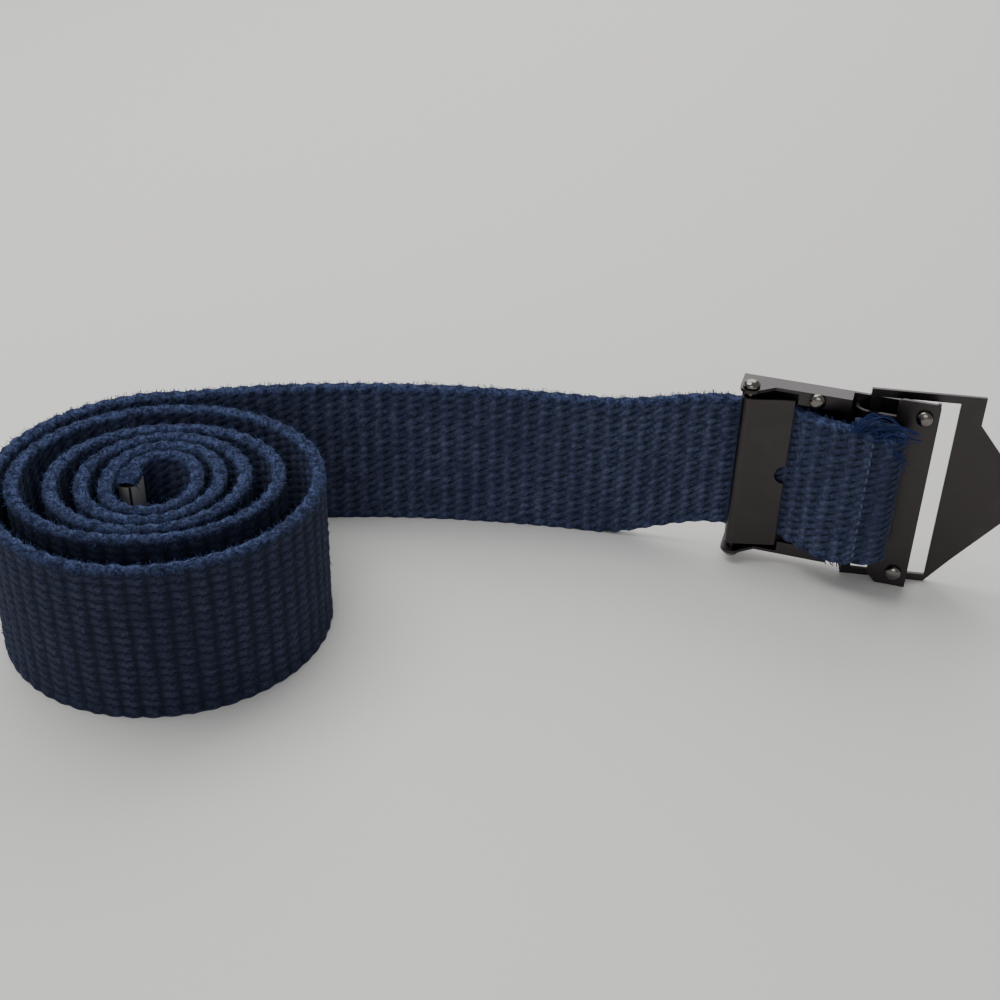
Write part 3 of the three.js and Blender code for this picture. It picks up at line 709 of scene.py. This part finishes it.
    # Painted shade: the hem past the stitches is made darker.
    hem_shade = remap(tree, shader_attribute(tree, "along"), STITCH_AT, STITCH_AT + MM, 0.0, HEM_PAINTED_SHADE)
    # Painted shade: the outer face, half as much on its rims, is mixed towards the dark yarn colour, together
    # with the hem.
    on_face = maths(tree, "MULTIPLY_ADD", rim, -0.5, 1.0)
    painted_shade = maths(tree, "MULTIPLY_ADD", maths(tree, "MULTIPLY", outer, on_face), OUTER_PAINTED_SHADE, hem_shade)
    colour = mix(tree, painted_shade, colour, linear(YARN_DARK))
    tree.links.new(colour, surface.inputs["Base Color"])
    height = maths(tree, "MULTIPLY_ADD", fibres, 0.5, maths(tree, "MULTIPLY", lint, 0.7))
    height = maths(tree, "SUBTRACT", maths(tree, "MULTIPLY_ADD", tufts, 0.6, height), depth)
    bump = add_node(tree, "ShaderNodeBump", {"Height": height, "Strength": 0.9, "Distance": 0.45 * MM})
    tree.links.new(bump.outputs[0], surface.inputs["Normal"])
    return material


cotton = cotton_material()
weave_sizes = {
    "Float length": FLOAT_LENGTH, "Row pitch": ROW_PITCH, "Hole depth": HOLE_DEPTH,
    "Row depth": ROW_DEPTH, "Furrow depth": FURROW_DEPTH, "Scallop": SCALLOP,
    "Rim swell": RIM_SWELL, "Waver": WAVER, "Edge": EDGE_ROUND, "Stitch at": STITCH_AT,
    "Pinch": STITCH_PINCH, "Material": cotton,
}
web = run_nodes(web_band, weave_tree(), weave_sizes, "web")
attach(web, "belt")
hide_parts("web_strap")
print("web triangles:", triangles(web))

# %% [markdown]
# Short cotton fibres stand out of the whole web, and most of all out of its rims, where
# the weft turns back. Each fibre is the same short hair, set by Geometry Nodes on points
# scattered over the finished web, leaning and turned at random.

# %% Fuzz
FUZZ_BLUE = "#333f62"
FACE_FUZZ = 110000.0
RIM_FUZZ = 3000000.0
FUZZ_LENGTH = 0.9 * MM
FUZZ_RADIUS = 0.06 * MM
FUZZ_LEAN = 1.0
FUZZ_GROWTH = (0.5, 1.35)
FUZZ_SEED = 5


def fibre_material(name, blue):
    return new_material(name, **{
        "Base Color": linear(blue), "Roughness": 1.0, "Specular IOR Level": 0.1})[0]


def short_fibre(tree, length, radius):
    """A straight fibre that starts just under its root and leans off Z."""
    root = add_node(tree, "ShaderNodeCombineXYZ", {"Z": maths(tree, "MULTIPLY", length, -0.15)})
    end = add_node(tree, "ShaderNodeCombineXYZ", {
        "X": maths(tree, "MULTIPLY", length, 0.6), "Z": maths(tree, "MULTIPLY", length, 0.7)})
    line = add_node(tree, "GeometryNodeCurvePrimitiveLine", {"Start": root.outputs[0], "End": end.outputs[0]})
    ring = add_node(tree, "GeometryNodeCurvePrimitiveCircle", {"Resolution": 3, "Radius": radius})
    return add_node(tree, "GeometryNodeCurveToMesh", {
        "Curve": line.outputs[0], "Profile Curve": ring.outputs[0], "Fill Caps": True}).outputs[0]


def finish_tree(tree, geometry, given, result):
    """Realize the copies, keep them above the floor, and give them the material."""
    whole = add_node(tree, "GeometryNodeRealizeInstances", {"Geometry": geometry})
    place = add_node(tree, "GeometryNodeInputPosition").outputs[0]
    above = add_node(tree, "ShaderNodeVectorMath", {0: place, 1: (-1.0, -1.0, 0.0)}, operation="MAXIMUM")
    lifted = add_node(tree, "GeometryNodeSetPosition",
                      {"Geometry": whole.outputs[0], "Position": above.outputs[0]})
    soft = add_node(tree, "GeometryNodeSetShadeSmooth", {"Geometry": lifted.outputs[0]})
    painted = add_node(tree, "GeometryNodeSetMaterial",
                       {"Geometry": soft.outputs[0], "Material": given.outputs["Material"]})
    tree.links.new(painted.outputs[0], result.inputs[0])
    return tree


def fuzz_tree():
    tree, given, result = group_tree(
        "web_fuzz", ["Face fuzz", "Rim fuzz", "Length", "Radius", "Lean"], material=True)
    size = given.outputs
    rim = maths(tree, "ABSOLUTE", named_input(tree, "rim"))
    extra = maths(tree, "MULTIPLY", rim, maths(tree, "SUBTRACT", size["Rim fuzz"], size["Face fuzz"]))
    density = maths(tree, "MULTIPLY", maths(tree, "ADD", size["Face fuzz"], extra), named_input(tree, "fuzz"))
    points = add_node(tree, "GeometryNodeDistributePointsOnFaces", {
        "Mesh": given.outputs["Geometry"], "Density": density, "Seed": FUZZ_SEED})
    lean = size["Lean"]
    low = add_node(tree, "ShaderNodeCombineXYZ", {
        "X": maths(tree, "MULTIPLY", lean, -1.0), "Y": maths(tree, "MULTIPLY", lean, -1.0)})
    high = add_node(tree, "ShaderNodeCombineXYZ", {"X": lean, "Y": lean, "Z": 2 * math.pi})
    turn = add_node(tree, "FunctionNodeRandomValue", {
        0: low.outputs[0], 1: high.outputs[0], "Seed": FUZZ_SEED}, data_type="FLOAT_VECTOR")
    turned_root = add_node(tree, "FunctionNodeRotateRotation", {
        "Rotation": points.outputs["Rotation"], "Rotate By": turn.outputs[0]}, rotation_space="LOCAL")
    grow = add_node(tree, "FunctionNodeRandomValue", {
        2: FUZZ_GROWTH[0], 3: FUZZ_GROWTH[1], "Seed": FUZZ_SEED + 1}, data_type="FLOAT")
    hair = short_fibre(tree, size["Length"], size["Radius"])
    placed = add_node(tree, "GeometryNodeInstanceOnPoints", {
        "Points": points.outputs["Points"], "Instance": hair,
        "Rotation": turned_root.outputs[0], "Scale": grow.outputs[1]})
    return finish_tree(tree, placed.outputs[0], given, result)


def soft_piece(piece):
    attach(piece, "belt")
    print(piece.name, "triangles:", triangles(piece))


fibre = fibre_material("loose_cotton_fibre", FUZZ_BLUE)
fuzz_values = {"Face fuzz": FACE_FUZZ, "Rim fuzz": RIM_FUZZ, "Length": FUZZ_LENGTH,
               "Radius": FUZZ_RADIUS, "Lean": FUZZ_LEAN, "Material": fibre}
web_fuzz = run_nodes(new_object("fuzz_base", web.data.copy()), fuzz_tree(), fuzz_values, "web_fuzz")
soft_piece(web_fuzz)

# %% [markdown]
# The web's end is folded back round the bracket and held by one upright line of thread
# stitches. Each stitch is a short arc whose ends dive into the cloth. Above it the cut
# end has frayed: loose strands curl out of the hem's upper corner, and whole yarns of a
# few strands each reach out over the bracket. Short ends hang from the lower edge too.
# All are drawn curves swept with a thin round section.

# %% Hem stitches
STITCH_COUNT = 14
STITCH_LENGTH = 1.3 * MM
STITCH_RADIUS = 0.34 * MM
STITCH_MARGIN = 2.6 * MM
STITCH_RISE = 0.30 * MM
THREAD_BLUE = "#3d4863"


def stitch_tree():
    tree, given, result = group_tree("hem_stitches", ["Length", "Rise", "Radius", "Turn"], material=True)
    size = given.outputs
    half = maths(tree, "MULTIPLY", size["Length"], 0.5)
    low = add_node(tree, "ShaderNodeCombineXYZ", {
        "Y": size["Rise"], "Z": maths(tree, "MULTIPLY", half, -1.0)})
    high = add_node(tree, "ShaderNodeCombineXYZ", {"Y": size["Rise"], "Z": half})
    out = add_node(tree, "ShaderNodeCombineXYZ", {"Y": maths(tree, "MULTIPLY", size["Rise"], -2.0)})
    arc = add_node(tree, "GeometryNodeCurveQuadraticBezier", {
        "Resolution": 6, "Start": low.outputs[0], "Middle": out.outputs[0], "End": high.outputs[0]})
    ring = add_node(tree, "GeometryNodeCurvePrimitiveCircle", {"Resolution": 6, "Radius": size["Radius"]})
    thread = add_node(tree, "GeometryNodeCurveToMesh", {
        "Curve": arc.outputs[0], "Profile Curve": ring.outputs[0], "Fill Caps": True}).outputs[0]
    sway = add_node(tree, "FunctionNodeRandomValue", {2: -0.4, 3: 0.4, "Seed": 3}, data_type="FLOAT")
    turn = add_node(tree, "ShaderNodeCombineXYZ", {"Y": sway.outputs[1], "Z": size["Turn"]})
    placed = add_node(tree, "GeometryNodeInstanceOnPoints", {
        "Points": given.outputs["Geometry"], "Instance": thread, "Rotation": turn.outputs[0]})
    return finish_tree(tree, placed.outputs[0], given, result)


def thread_material():
    return new_material("waxed_cotton_thread", **{
        "Base Color": linear(THREAD_BLUE), "Roughness": 0.6, "Specular IOR Level": 0.4})[0]


def point_object(name, points, edges=()):
    """Bare points, or lines between them, for a geometry tree to work on."""
    mesh = bpy.data.meshes.new(name)
    mesh.from_pydata(points, list(edges), [])
    return new_object(name, mesh)


near_face = web_depth(STITCH_X) - WEB_THICKNESS / 2
stitch_plan = from_buckle(STITCH_X, near_face + STITCH_PINCH)
stitch_low = drawn_in(from_buckle(STITCH_X, near_face), 1.0)[0] + STITCH_MARGIN
stitch_heights = np.linspace(stitch_low, WEB_WIDTH - STITCH_MARGIN, STITCH_COUNT) + WEB_LIFT
stitch_base = point_object("stitch_points", [(*stitch_plan, height) for height in stitch_heights])
stitch_values = {"Length": STITCH_LENGTH, "Rise": STITCH_RISE, "Radius": STITCH_RADIUS,
                 "Turn": BUCKLE_TURN, "Material": thread_material()}
hem_stitches = run_nodes(stitch_base, stitch_tree(), stitch_values, "hem_stitches")
soft_piece(hem_stitches)

# %% Frayed yarns
FRAY_COUNT = 64
FRAY_FROM = 24.5 * MM
FRAY_TO = 34.5 * MM
FRAY_LENGTH = (2.5 * MM, 6.5 * MM)
FRAY_RADIUS = 0.2 * MM
FRAY_STEPS = 9
FRAY_SEED = 11
FRAY_BLUE = "#232e52"
PLIES = 5
PLY_SPREAD = 0.3 * MM
LOW_FRAY = (21.5 * MM, 27.5 * MM)
LOW_FRAY_COUNT = 14
LONG_YARNS = [
    # start x, end x, height gained, sag of the middle
    (27.0 * MM, 38.8 * MM, 2.4 * MM, 1.8 * MM),
    (29.5 * MM, 39.4 * MM, 1.6 * MM, 0.2 * MM),
    (25.5 * MM, 35.0 * MM, 2.2 * MM, 3.4 * MM),
    (24.5 * MM, 33.0 * MM, 0.6 * MM, 4.4 * MM),
    (32.8 * MM, 38.0 * MM, -5.6 * MM, -0.6 * MM),
]


def yarn_line(start, ahead, rise, bow, wiggle):
    """A loose yarn in the buckle's axes: it runs ahead and up, bowed upward in the middle."""
    points = []
    for step in range(FRAY_STEPS + 1):
        share = step / FRAY_STEPS
        x = start[0] + ahead * share
        y = start[1] + wiggle * math.sin(3 * share)
        z = start[2] + rise * share + bow * math.sin(math.pi * share)
        plan = from_buckle(x, y)
        points.append((plan[0], plan[1], BUCKLE_MIDDLE + z))
    return points


def fray_lines():
    chance = np.random.default_rng(FRAY_SEED)
    top = WEB_WIDTH / 2 - 0.4 * MM
    lines = []
    for x in np.linspace(FRAY_FROM, FRAY_TO, FRAY_COUNT):
        depth = web_depth(min(x, HEM_END)) + chance.uniform(-1.2, 0.8) * MM
        length = chance.uniform(*FRAY_LENGTH)
        lean = chance.uniform(-0.5, 1.0)
        rise = chance.uniform(-0.1, 0.35) * length
        bow = chance.uniform(0.15, 0.4) * length
        lines.append(yarn_line((x, depth, top), lean * length, rise, bow, chance.uniform(-0.5, 0.3) * MM))
    for start, end, rise, bow in LONG_YARNS:
        for _ in range(PLIES):
            off = chance.normal(0, PLY_SPREAD, 4)
            depth = web_depth(min(start, HEM_END)) - WEB_THICKNESS / 2 + off[0]
            root = (start + off[1], depth, top + off[2])
            lines.append(yarn_line(root, end - start + off[3], rise + off[2], bow + off[0], 0.6 * MM))
    for x in np.linspace(*LOW_FRAY, LOW_FRAY_COUNT):
        low = drawn_in(from_buckle(x, 0), 1.0)[0] - WEB_WIDTH / 2 + 0.4 * MM
        root = (x, web_depth(x) + chance.uniform(-1.2, 0.6) * MM, low)
        fall = -chance.uniform(0.8, 2.8) * MM
        lines.append(yarn_line(root, chance.uniform(-1.5, 1.5) * MM, fall, 0.2 * fall, -0.4 * MM))
    return lines


def fray_tree():
    tree, given, result = group_tree("frayed_yarns", ["Radius"], material=True)
    line = add_node(tree, "GeometryNodeMeshToCurve", {"Mesh": given.outputs["Geometry"]})
    share = add_node(tree, "GeometryNodeSplineParameter").outputs["Factor"]
    thin = maths(tree, "MULTIPLY_ADD", share, -0.55, 1.0)
    ring = add_node(tree, "GeometryNodeCurvePrimitiveCircle",
                    {"Resolution": 5, "Radius": given.outputs["Radius"]})
    yarn = add_node(tree, "GeometryNodeCurveToMesh", {
        "Curve": line.outputs[0], "Profile Curve": ring.outputs[0], "Scale": thin, "Fill Caps": True})
    return finish_tree(tree, yarn.outputs[0], given, result)


fray_points, fray_edges = [], []
for line in fray_lines():
    first = len(fray_points)
    fray_points += line
    fray_edges += [(first + k, first + k + 1) for k in range(len(line) - 1)]
fray_base = point_object("fray_lines", fray_points, fray_edges)
fray_values = {"Radius": FRAY_RADIUS, "Material": fibre_material("frayed_cotton_yarn", FRAY_BLUE)}
frayed_yarns = run_nodes(fray_base, fray_tree(), fray_values, "frayed_yarns")
soft_piece(frayed_yarns)

# %% [markdown]
# The buckle is stamped sheet steel with a dark gunmetal plating. Its solids have the
# right shape but knife edges, and stamped edges are always a little round, so they show
# as thin lines of light. Each solid is copied, its loose triangles are merged into flat
# faces, and a narrow bevel with weighted normals rounds the edges and keeps faces flat.

# %% Material: gunmetal plating
GUNMETAL = "#433f40"
GUNMETAL_WORN = "#5c5758"


def gunmetal_material():
    material, tree, surface = new_material("gunmetal_plated_steel", **{"Metallic": 1.0})
    place = add_node(tree, "ShaderNodeTexCoord").outputs["Object"]
    cloud = add_node(tree, "ShaderNodeTexNoise", {"Vector": place, "Scale": 90.0, "Detail": 4.0}).outputs[0]
    grain = add_node(tree, "ShaderNodeTexNoise", {"Vector": place, "Scale": 3800.0, "Detail": 2.0}).outputs[0]
    wear_and_rim_light = remap(tree, cloud, 0.5, 0.8, 0.0, 0.3)
    colour = mix(tree, wear_and_rim_light, linear(GUNMETAL), linear(GUNMETAL_WORN))
    tree.links.new(colour, surface.inputs["Base Color"])
    tree.links.new(remap(tree, cloud, 0.3, 0.7, 0.30, 0.44), surface.inputs["Roughness"])
    bump = add_node(tree, "ShaderNodeBump", {"Height": grain, "Strength": 0.15, "Distance": 0.02 * MM})
    tree.links.new(bump.outputs[0], surface.inputs["Normal"])
    return material


gunmetal = gunmetal_material()
print("made", gunmetal.name)

# %% Stamped pieces with rounded edges
MERGE_WITHIN = 0.002 * MM
FLAT_WITHIN = math.radians(1.5)
EDGE_ANGLE = math.radians(32)
STAMPED = [
    # node, name of the finished piece, body, width of the rounded edge
    ("buckle_frame", "stamped_channel", "belt", 0.12 * MM),
    ("back_bracket", "stamped_bracket", "belt", 0.14 * MM),
    ("clamp_flap", "rolled_flap", "clamp_flap", 0.12 * MM),
    ("front_plate", "window_plate", "front_plate", 0.16 * MM),
]


def merged_copy(node, name):
    mesh = nodes[node].data.copy()
    mesh.name = name
    shape = bmesh.new()
    shape.from_mesh(mesh)
    bmesh.ops.remove_doubles(shape, verts=shape.verts, dist=MERGE_WITHIN)
    bmesh.ops.dissolve_limit(shape, angle_limit=FLAT_WITHIN, verts=shape.verts, edges=shape.edges)
    shape.to_mesh(mesh)
    shape.free()
    return mesh


def round_edges(mesh, name, width, steps=2):
    obj = new_object(name, mesh)
    mesh.shade_smooth()
    bevel = obj.modifiers.new("edge", "BEVEL")
    bevel.width = width
    bevel.segments = steps
    bevel.limit_method = "ANGLE"
    bevel.angle_limit = EDGE_ANGLE
    bevel.use_clamp_overlap = True
    flat = obj.modifiers.new("flat", "WEIGHTED_NORMAL")
    flat.keep_sharp = True
    graph = bpy.context.evaluated_depsgraph_get()
    done = bpy.data.meshes.new_from_object(obj.evaluated_get(graph))
    bpy.data.objects.remove(obj)
    return new_object(name, done)


def finish_piece(piece, body, slot, material, *replaced):
    piece.data.materials.clear()
    piece.data.materials.append(material)
    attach(piece, body)
    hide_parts(*replaced)


for node_name, piece_name, body, width in STAMPED:
    piece = round_edges(merged_copy(node_name, piece_name), piece_name, width)
    finish_piece(piece, body, "buckle_metal", gunmetal, node_name)
    print(piece_name, "faces:", len(piece.data.polygons))

# %% [markdown]
# Pin heads and rivets are small polished domes. A dome is a profile turned round an
# axis, so one function makes it from a quarter ellipse. The heads of the three rivets
# are all alike: Geometry Nodes put the same dome and short shank on three points, turned
# with the buckle. The solids of the two on the bracket have longer shanks, which run on
# through the frame.

# %% Material: polished rivets
RIVET_METAL = "#77726d"


def polished_material():
    material, tree, surface = new_material("polished_gunmetal", **{
        "Metallic": 1.0, "Base Color": linear(RIVET_METAL)})
    place = add_node(tree, "ShaderNodeTexCoord").outputs["Object"]
    smear = add_node(tree, "ShaderNodeTexNoise", {"Vector": place, "Scale": 900.0, "Detail": 3.0}).outputs[0]
    tree.links.new(remap(tree, smear, 0.3, 0.7, 0.12, 0.26), surface.inputs["Roughness"])
    return material


polished = polished_material()
print("made", polished.name)

# %% Domed heads
DOME_SIDES = 40
DOME_RINGS = 8
DOME_EDGE = 0.18 * MM
ON_AXIS = 1e-7
SHARP_ABOVE = math.radians(50)


def head_profile(radius, height):
    """Radius and height of a low dome with a small upright edge, from its rim to its top."""
    profile = [(radius, 0.0)]
    for ring in range(DOME_RINGS + 1):
        angle = ring / DOME_RINGS * math.pi / 2
        profile.append((radius * math.cos(angle), DOME_EDGE + (height - DOME_EDGE) * math.sin(angle)))
    return profile


def turned(name, profile):
    """A closed mesh turned about Z from points of radius and height; both ends lie on the axis."""
    shape = bmesh.new()
    rings = []
    for radius, height in profile:
        if radius < ON_AXIS:
            rings.append([shape.verts.new((0, 0, height))])
            continue
        turns = [2 * math.pi * k / DOME_SIDES for k in range(DOME_SIDES)]
        rings.append([shape.verts.new((radius * math.cos(a), radius * math.sin(a), height)) for a in turns])
    for low, high in zip(rings, rings[1:]):
        for k in range(DOME_SIDES):
            after = (k + 1) % DOME_SIDES
            corners = [low[k % len(low)], low[after % len(low)], high[after % len(high)], high[k % len(high)]]
            shape.faces.new(dict.fromkeys(corners))
    bmesh.ops.recalc_face_normals(shape, faces=shape.faces)
    mesh = bpy.data.meshes.new(name)
    shape.to_mesh(mesh)
    shape.free()
    mesh.shade_smooth()
    mesh.set_sharp_from_angle(angle=SHARP_ABOVE)
    return mesh


def place_mesh(mesh, matrix):
    mesh.transform(matrix)
    return new_object(mesh.name, mesh)


WALL_OUT = 22.9 * MM
PIN_GAP = 0.3 * MM
PIN_RADIUS = 0.8 * MM
PIN_HEAD = (2.0 * MM, 1.4 * MM)
buckle_matrix = Matrix.Translation((PIN[0], PIN[1], BUCKLE_MIDDLE)) @ Matrix.Rotation(BUCKLE_TURN, 4, "Z")
upper_end = [(PIN_RADIUS, WALL_OUT + PIN_GAP)]
upper_end += [(r, WALL_OUT + PIN_GAP + h) for r, h in head_profile(*PIN_HEAD)]
pin_profile = [(r, -h) for r, h in reversed(upper_end)] + upper_end
pin = place_mesh(turned("hinge_pin", pin_profile), buckle_matrix)
finish_piece(pin, "belt", "rivet_metal", polished, "clamp_pin")
print("pin faces:", len(pin.data.polygons))

# %% Rivets
RIVET_HEAD = (1.9 * MM, 1.2 * MM)
RIVET_GAP = 0.3 * MM
RIVET_SHANK = (0.9 * MM, 1.0 * MM)
LIP_LEVEL = 1.4 * MM
BRACKET_LEVEL = 1.0 * MM
RIVETS = [
    # place in the buckle's own axes: x, level of the sheet that it stands on, z
    (15.4 * MM, LIP_LEVEL, 21.15 * MM),
    (39.7 * MM, BRACKET_LEVEL, 21.5 * MM),
    (39.7 * MM, BRACKET_LEVEL, -21.5 * MM),
]


def rivet_tree():
    tree, given, result = group_tree("rivets_on_points", ["Turn"], material=True)
    tree.interface.new_socket("Head", in_out="INPUT", socket_type="NodeSocketObject")
    head = add_node(tree, "GeometryNodeObjectInfo", {"Object": given.outputs["Head"]})
    turn = add_node(tree, "ShaderNodeCombineXYZ", {"X": math.pi / 2, "Z": given.outputs["Turn"]})
    placed = add_node(tree, "GeometryNodeInstanceOnPoints", {
        "Points": given.outputs["Geometry"], "Instance": head.outputs["Geometry"],
        "Rotation": turn.outputs[0]})
    whole = add_node(tree, "GeometryNodeRealizeInstances", {"Geometry": placed.outputs[0]})
    painted = add_node(tree, "GeometryNodeSetMaterial",
                       {"Geometry": whole.outputs[0], "Material": given.outputs["Material"]})
    tree.links.new(painted.outputs[0], result.inputs[0])
    return tree


rivet_profile = [(0, -RIVET_SHANK[1]), (RIVET_SHANK[0], -RIVET_SHANK[1]), (RIVET_SHANK[0], 0)]
rivet_head = place_mesh(turned("rivet_head", rivet_profile + head_profile(*RIVET_HEAD)), Matrix())
rivet_points = [buckle_matrix @ Vector((x, level - RIVET_GAP, z)) for x, level, z in RIVETS]
rivet_base = point_object("rivet_points", rivet_points)
rivet_values = {"Turn": BUCKLE_TURN, "Material": polished, "Head": rivet_head}
rivets = run_nodes(rivet_base, rivet_tree(), rivet_values, "dome_rivets")
bpy.data.objects.remove(rivet_head)
finish_piece(rivets, "belt", "rivet_metal", polished,
             "lip_rivet", "bracket_rivet_upper", "bracket_rivet_lower")
print("rivet faces:", len(rivets.data.polygons))

# %% [markdown]
# The free end of the web is held in a strip of nickel-plated metal folded round it. It is
# treated as the stamped pieces are, with a wider rounded edge. Its cut upper and lower
# edges are bare, dull metal, and a near-black line down the fold is painted shade,
# standing for a crease.

# %% Folded tip
NICKEL = "#cfcdc7"
CUT_METAL = "#3c3a38"
# The next colour is a near-black line down the fold: painted shade standing for a crease.
CREASE_PAINTED_SHADE = "#1d1c1c"
TIP_EDGE = 0.25 * MM
CUT_BAND = 0.12 * MM
CREASE_SIDE = -0.6 * MM
CREASE_HALF = 0.35 * MM


def nickel_material():
    material, tree, surface = new_material("nickel_plated_brass", **{"Metallic": 0.6})
    place = add_node(tree, "ShaderNodeTexCoord").outputs["Object"]
    rub = add_node(tree, "ShaderNodeTexNoise", {"Vector": place, "Scale": 500.0, "Detail": 4.0}).outputs[0]
    height = add_node(tree, "ShaderNodeSeparateXYZ", {0: place}).outputs[2]
    from_middle = maths(tree, "ABSOLUTE", maths(tree, "SUBTRACT", height, WEB_WIDTH / 2))
    tip_half = WEB_WIDTH / 2 - TIP_INSET
    cut = remap(tree, from_middle, tip_half - 2 * CUT_BAND, tip_half - CUT_BAND)
    across = route[1] - route[0]
    across = Vector((-across[1], across[0], 0)).normalized()
    middle = Vector((*route[0], 0)).dot(across) + CREASE_SIDE
    off = add_node(tree, "ShaderNodeVectorMath", {0: place, 1: across}, operation="DOT_PRODUCT")
    off = maths(tree, "ABSOLUTE", maths(tree, "SUBTRACT", off.outputs["Value"], middle))
    # Painted shade: a near-black band down the fold stands for the shade of a crease.
    crease_shade = remap(tree, off, 0.4 * CREASE_HALF, CREASE_HALF, 1.0, 0.0)
    colour = mix(tree, crease_shade, linear(NICKEL), linear(CREASE_PAINTED_SHADE))
    colour = mix(tree, cut, colour, linear(CUT_METAL))
    tree.links.new(colour, surface.inputs["Base Color"])
    polish = remap(tree, rub, 0.3, 0.7, 0.34, 0.5)
    tree.links.new(maths(tree, "MULTIPLY_ADD", cut, 0.2, polish), surface.inputs["Roughness"])
    return material


tip = round_edges(merged_copy("web_tip", "folded_tip"), "folded_tip", TIP_EDGE, steps=3)
finish_piece(tip, "belt", "tip_metal", nickel_material(), "web_tip")
print("tip faces:", len(tip.data.polygons))
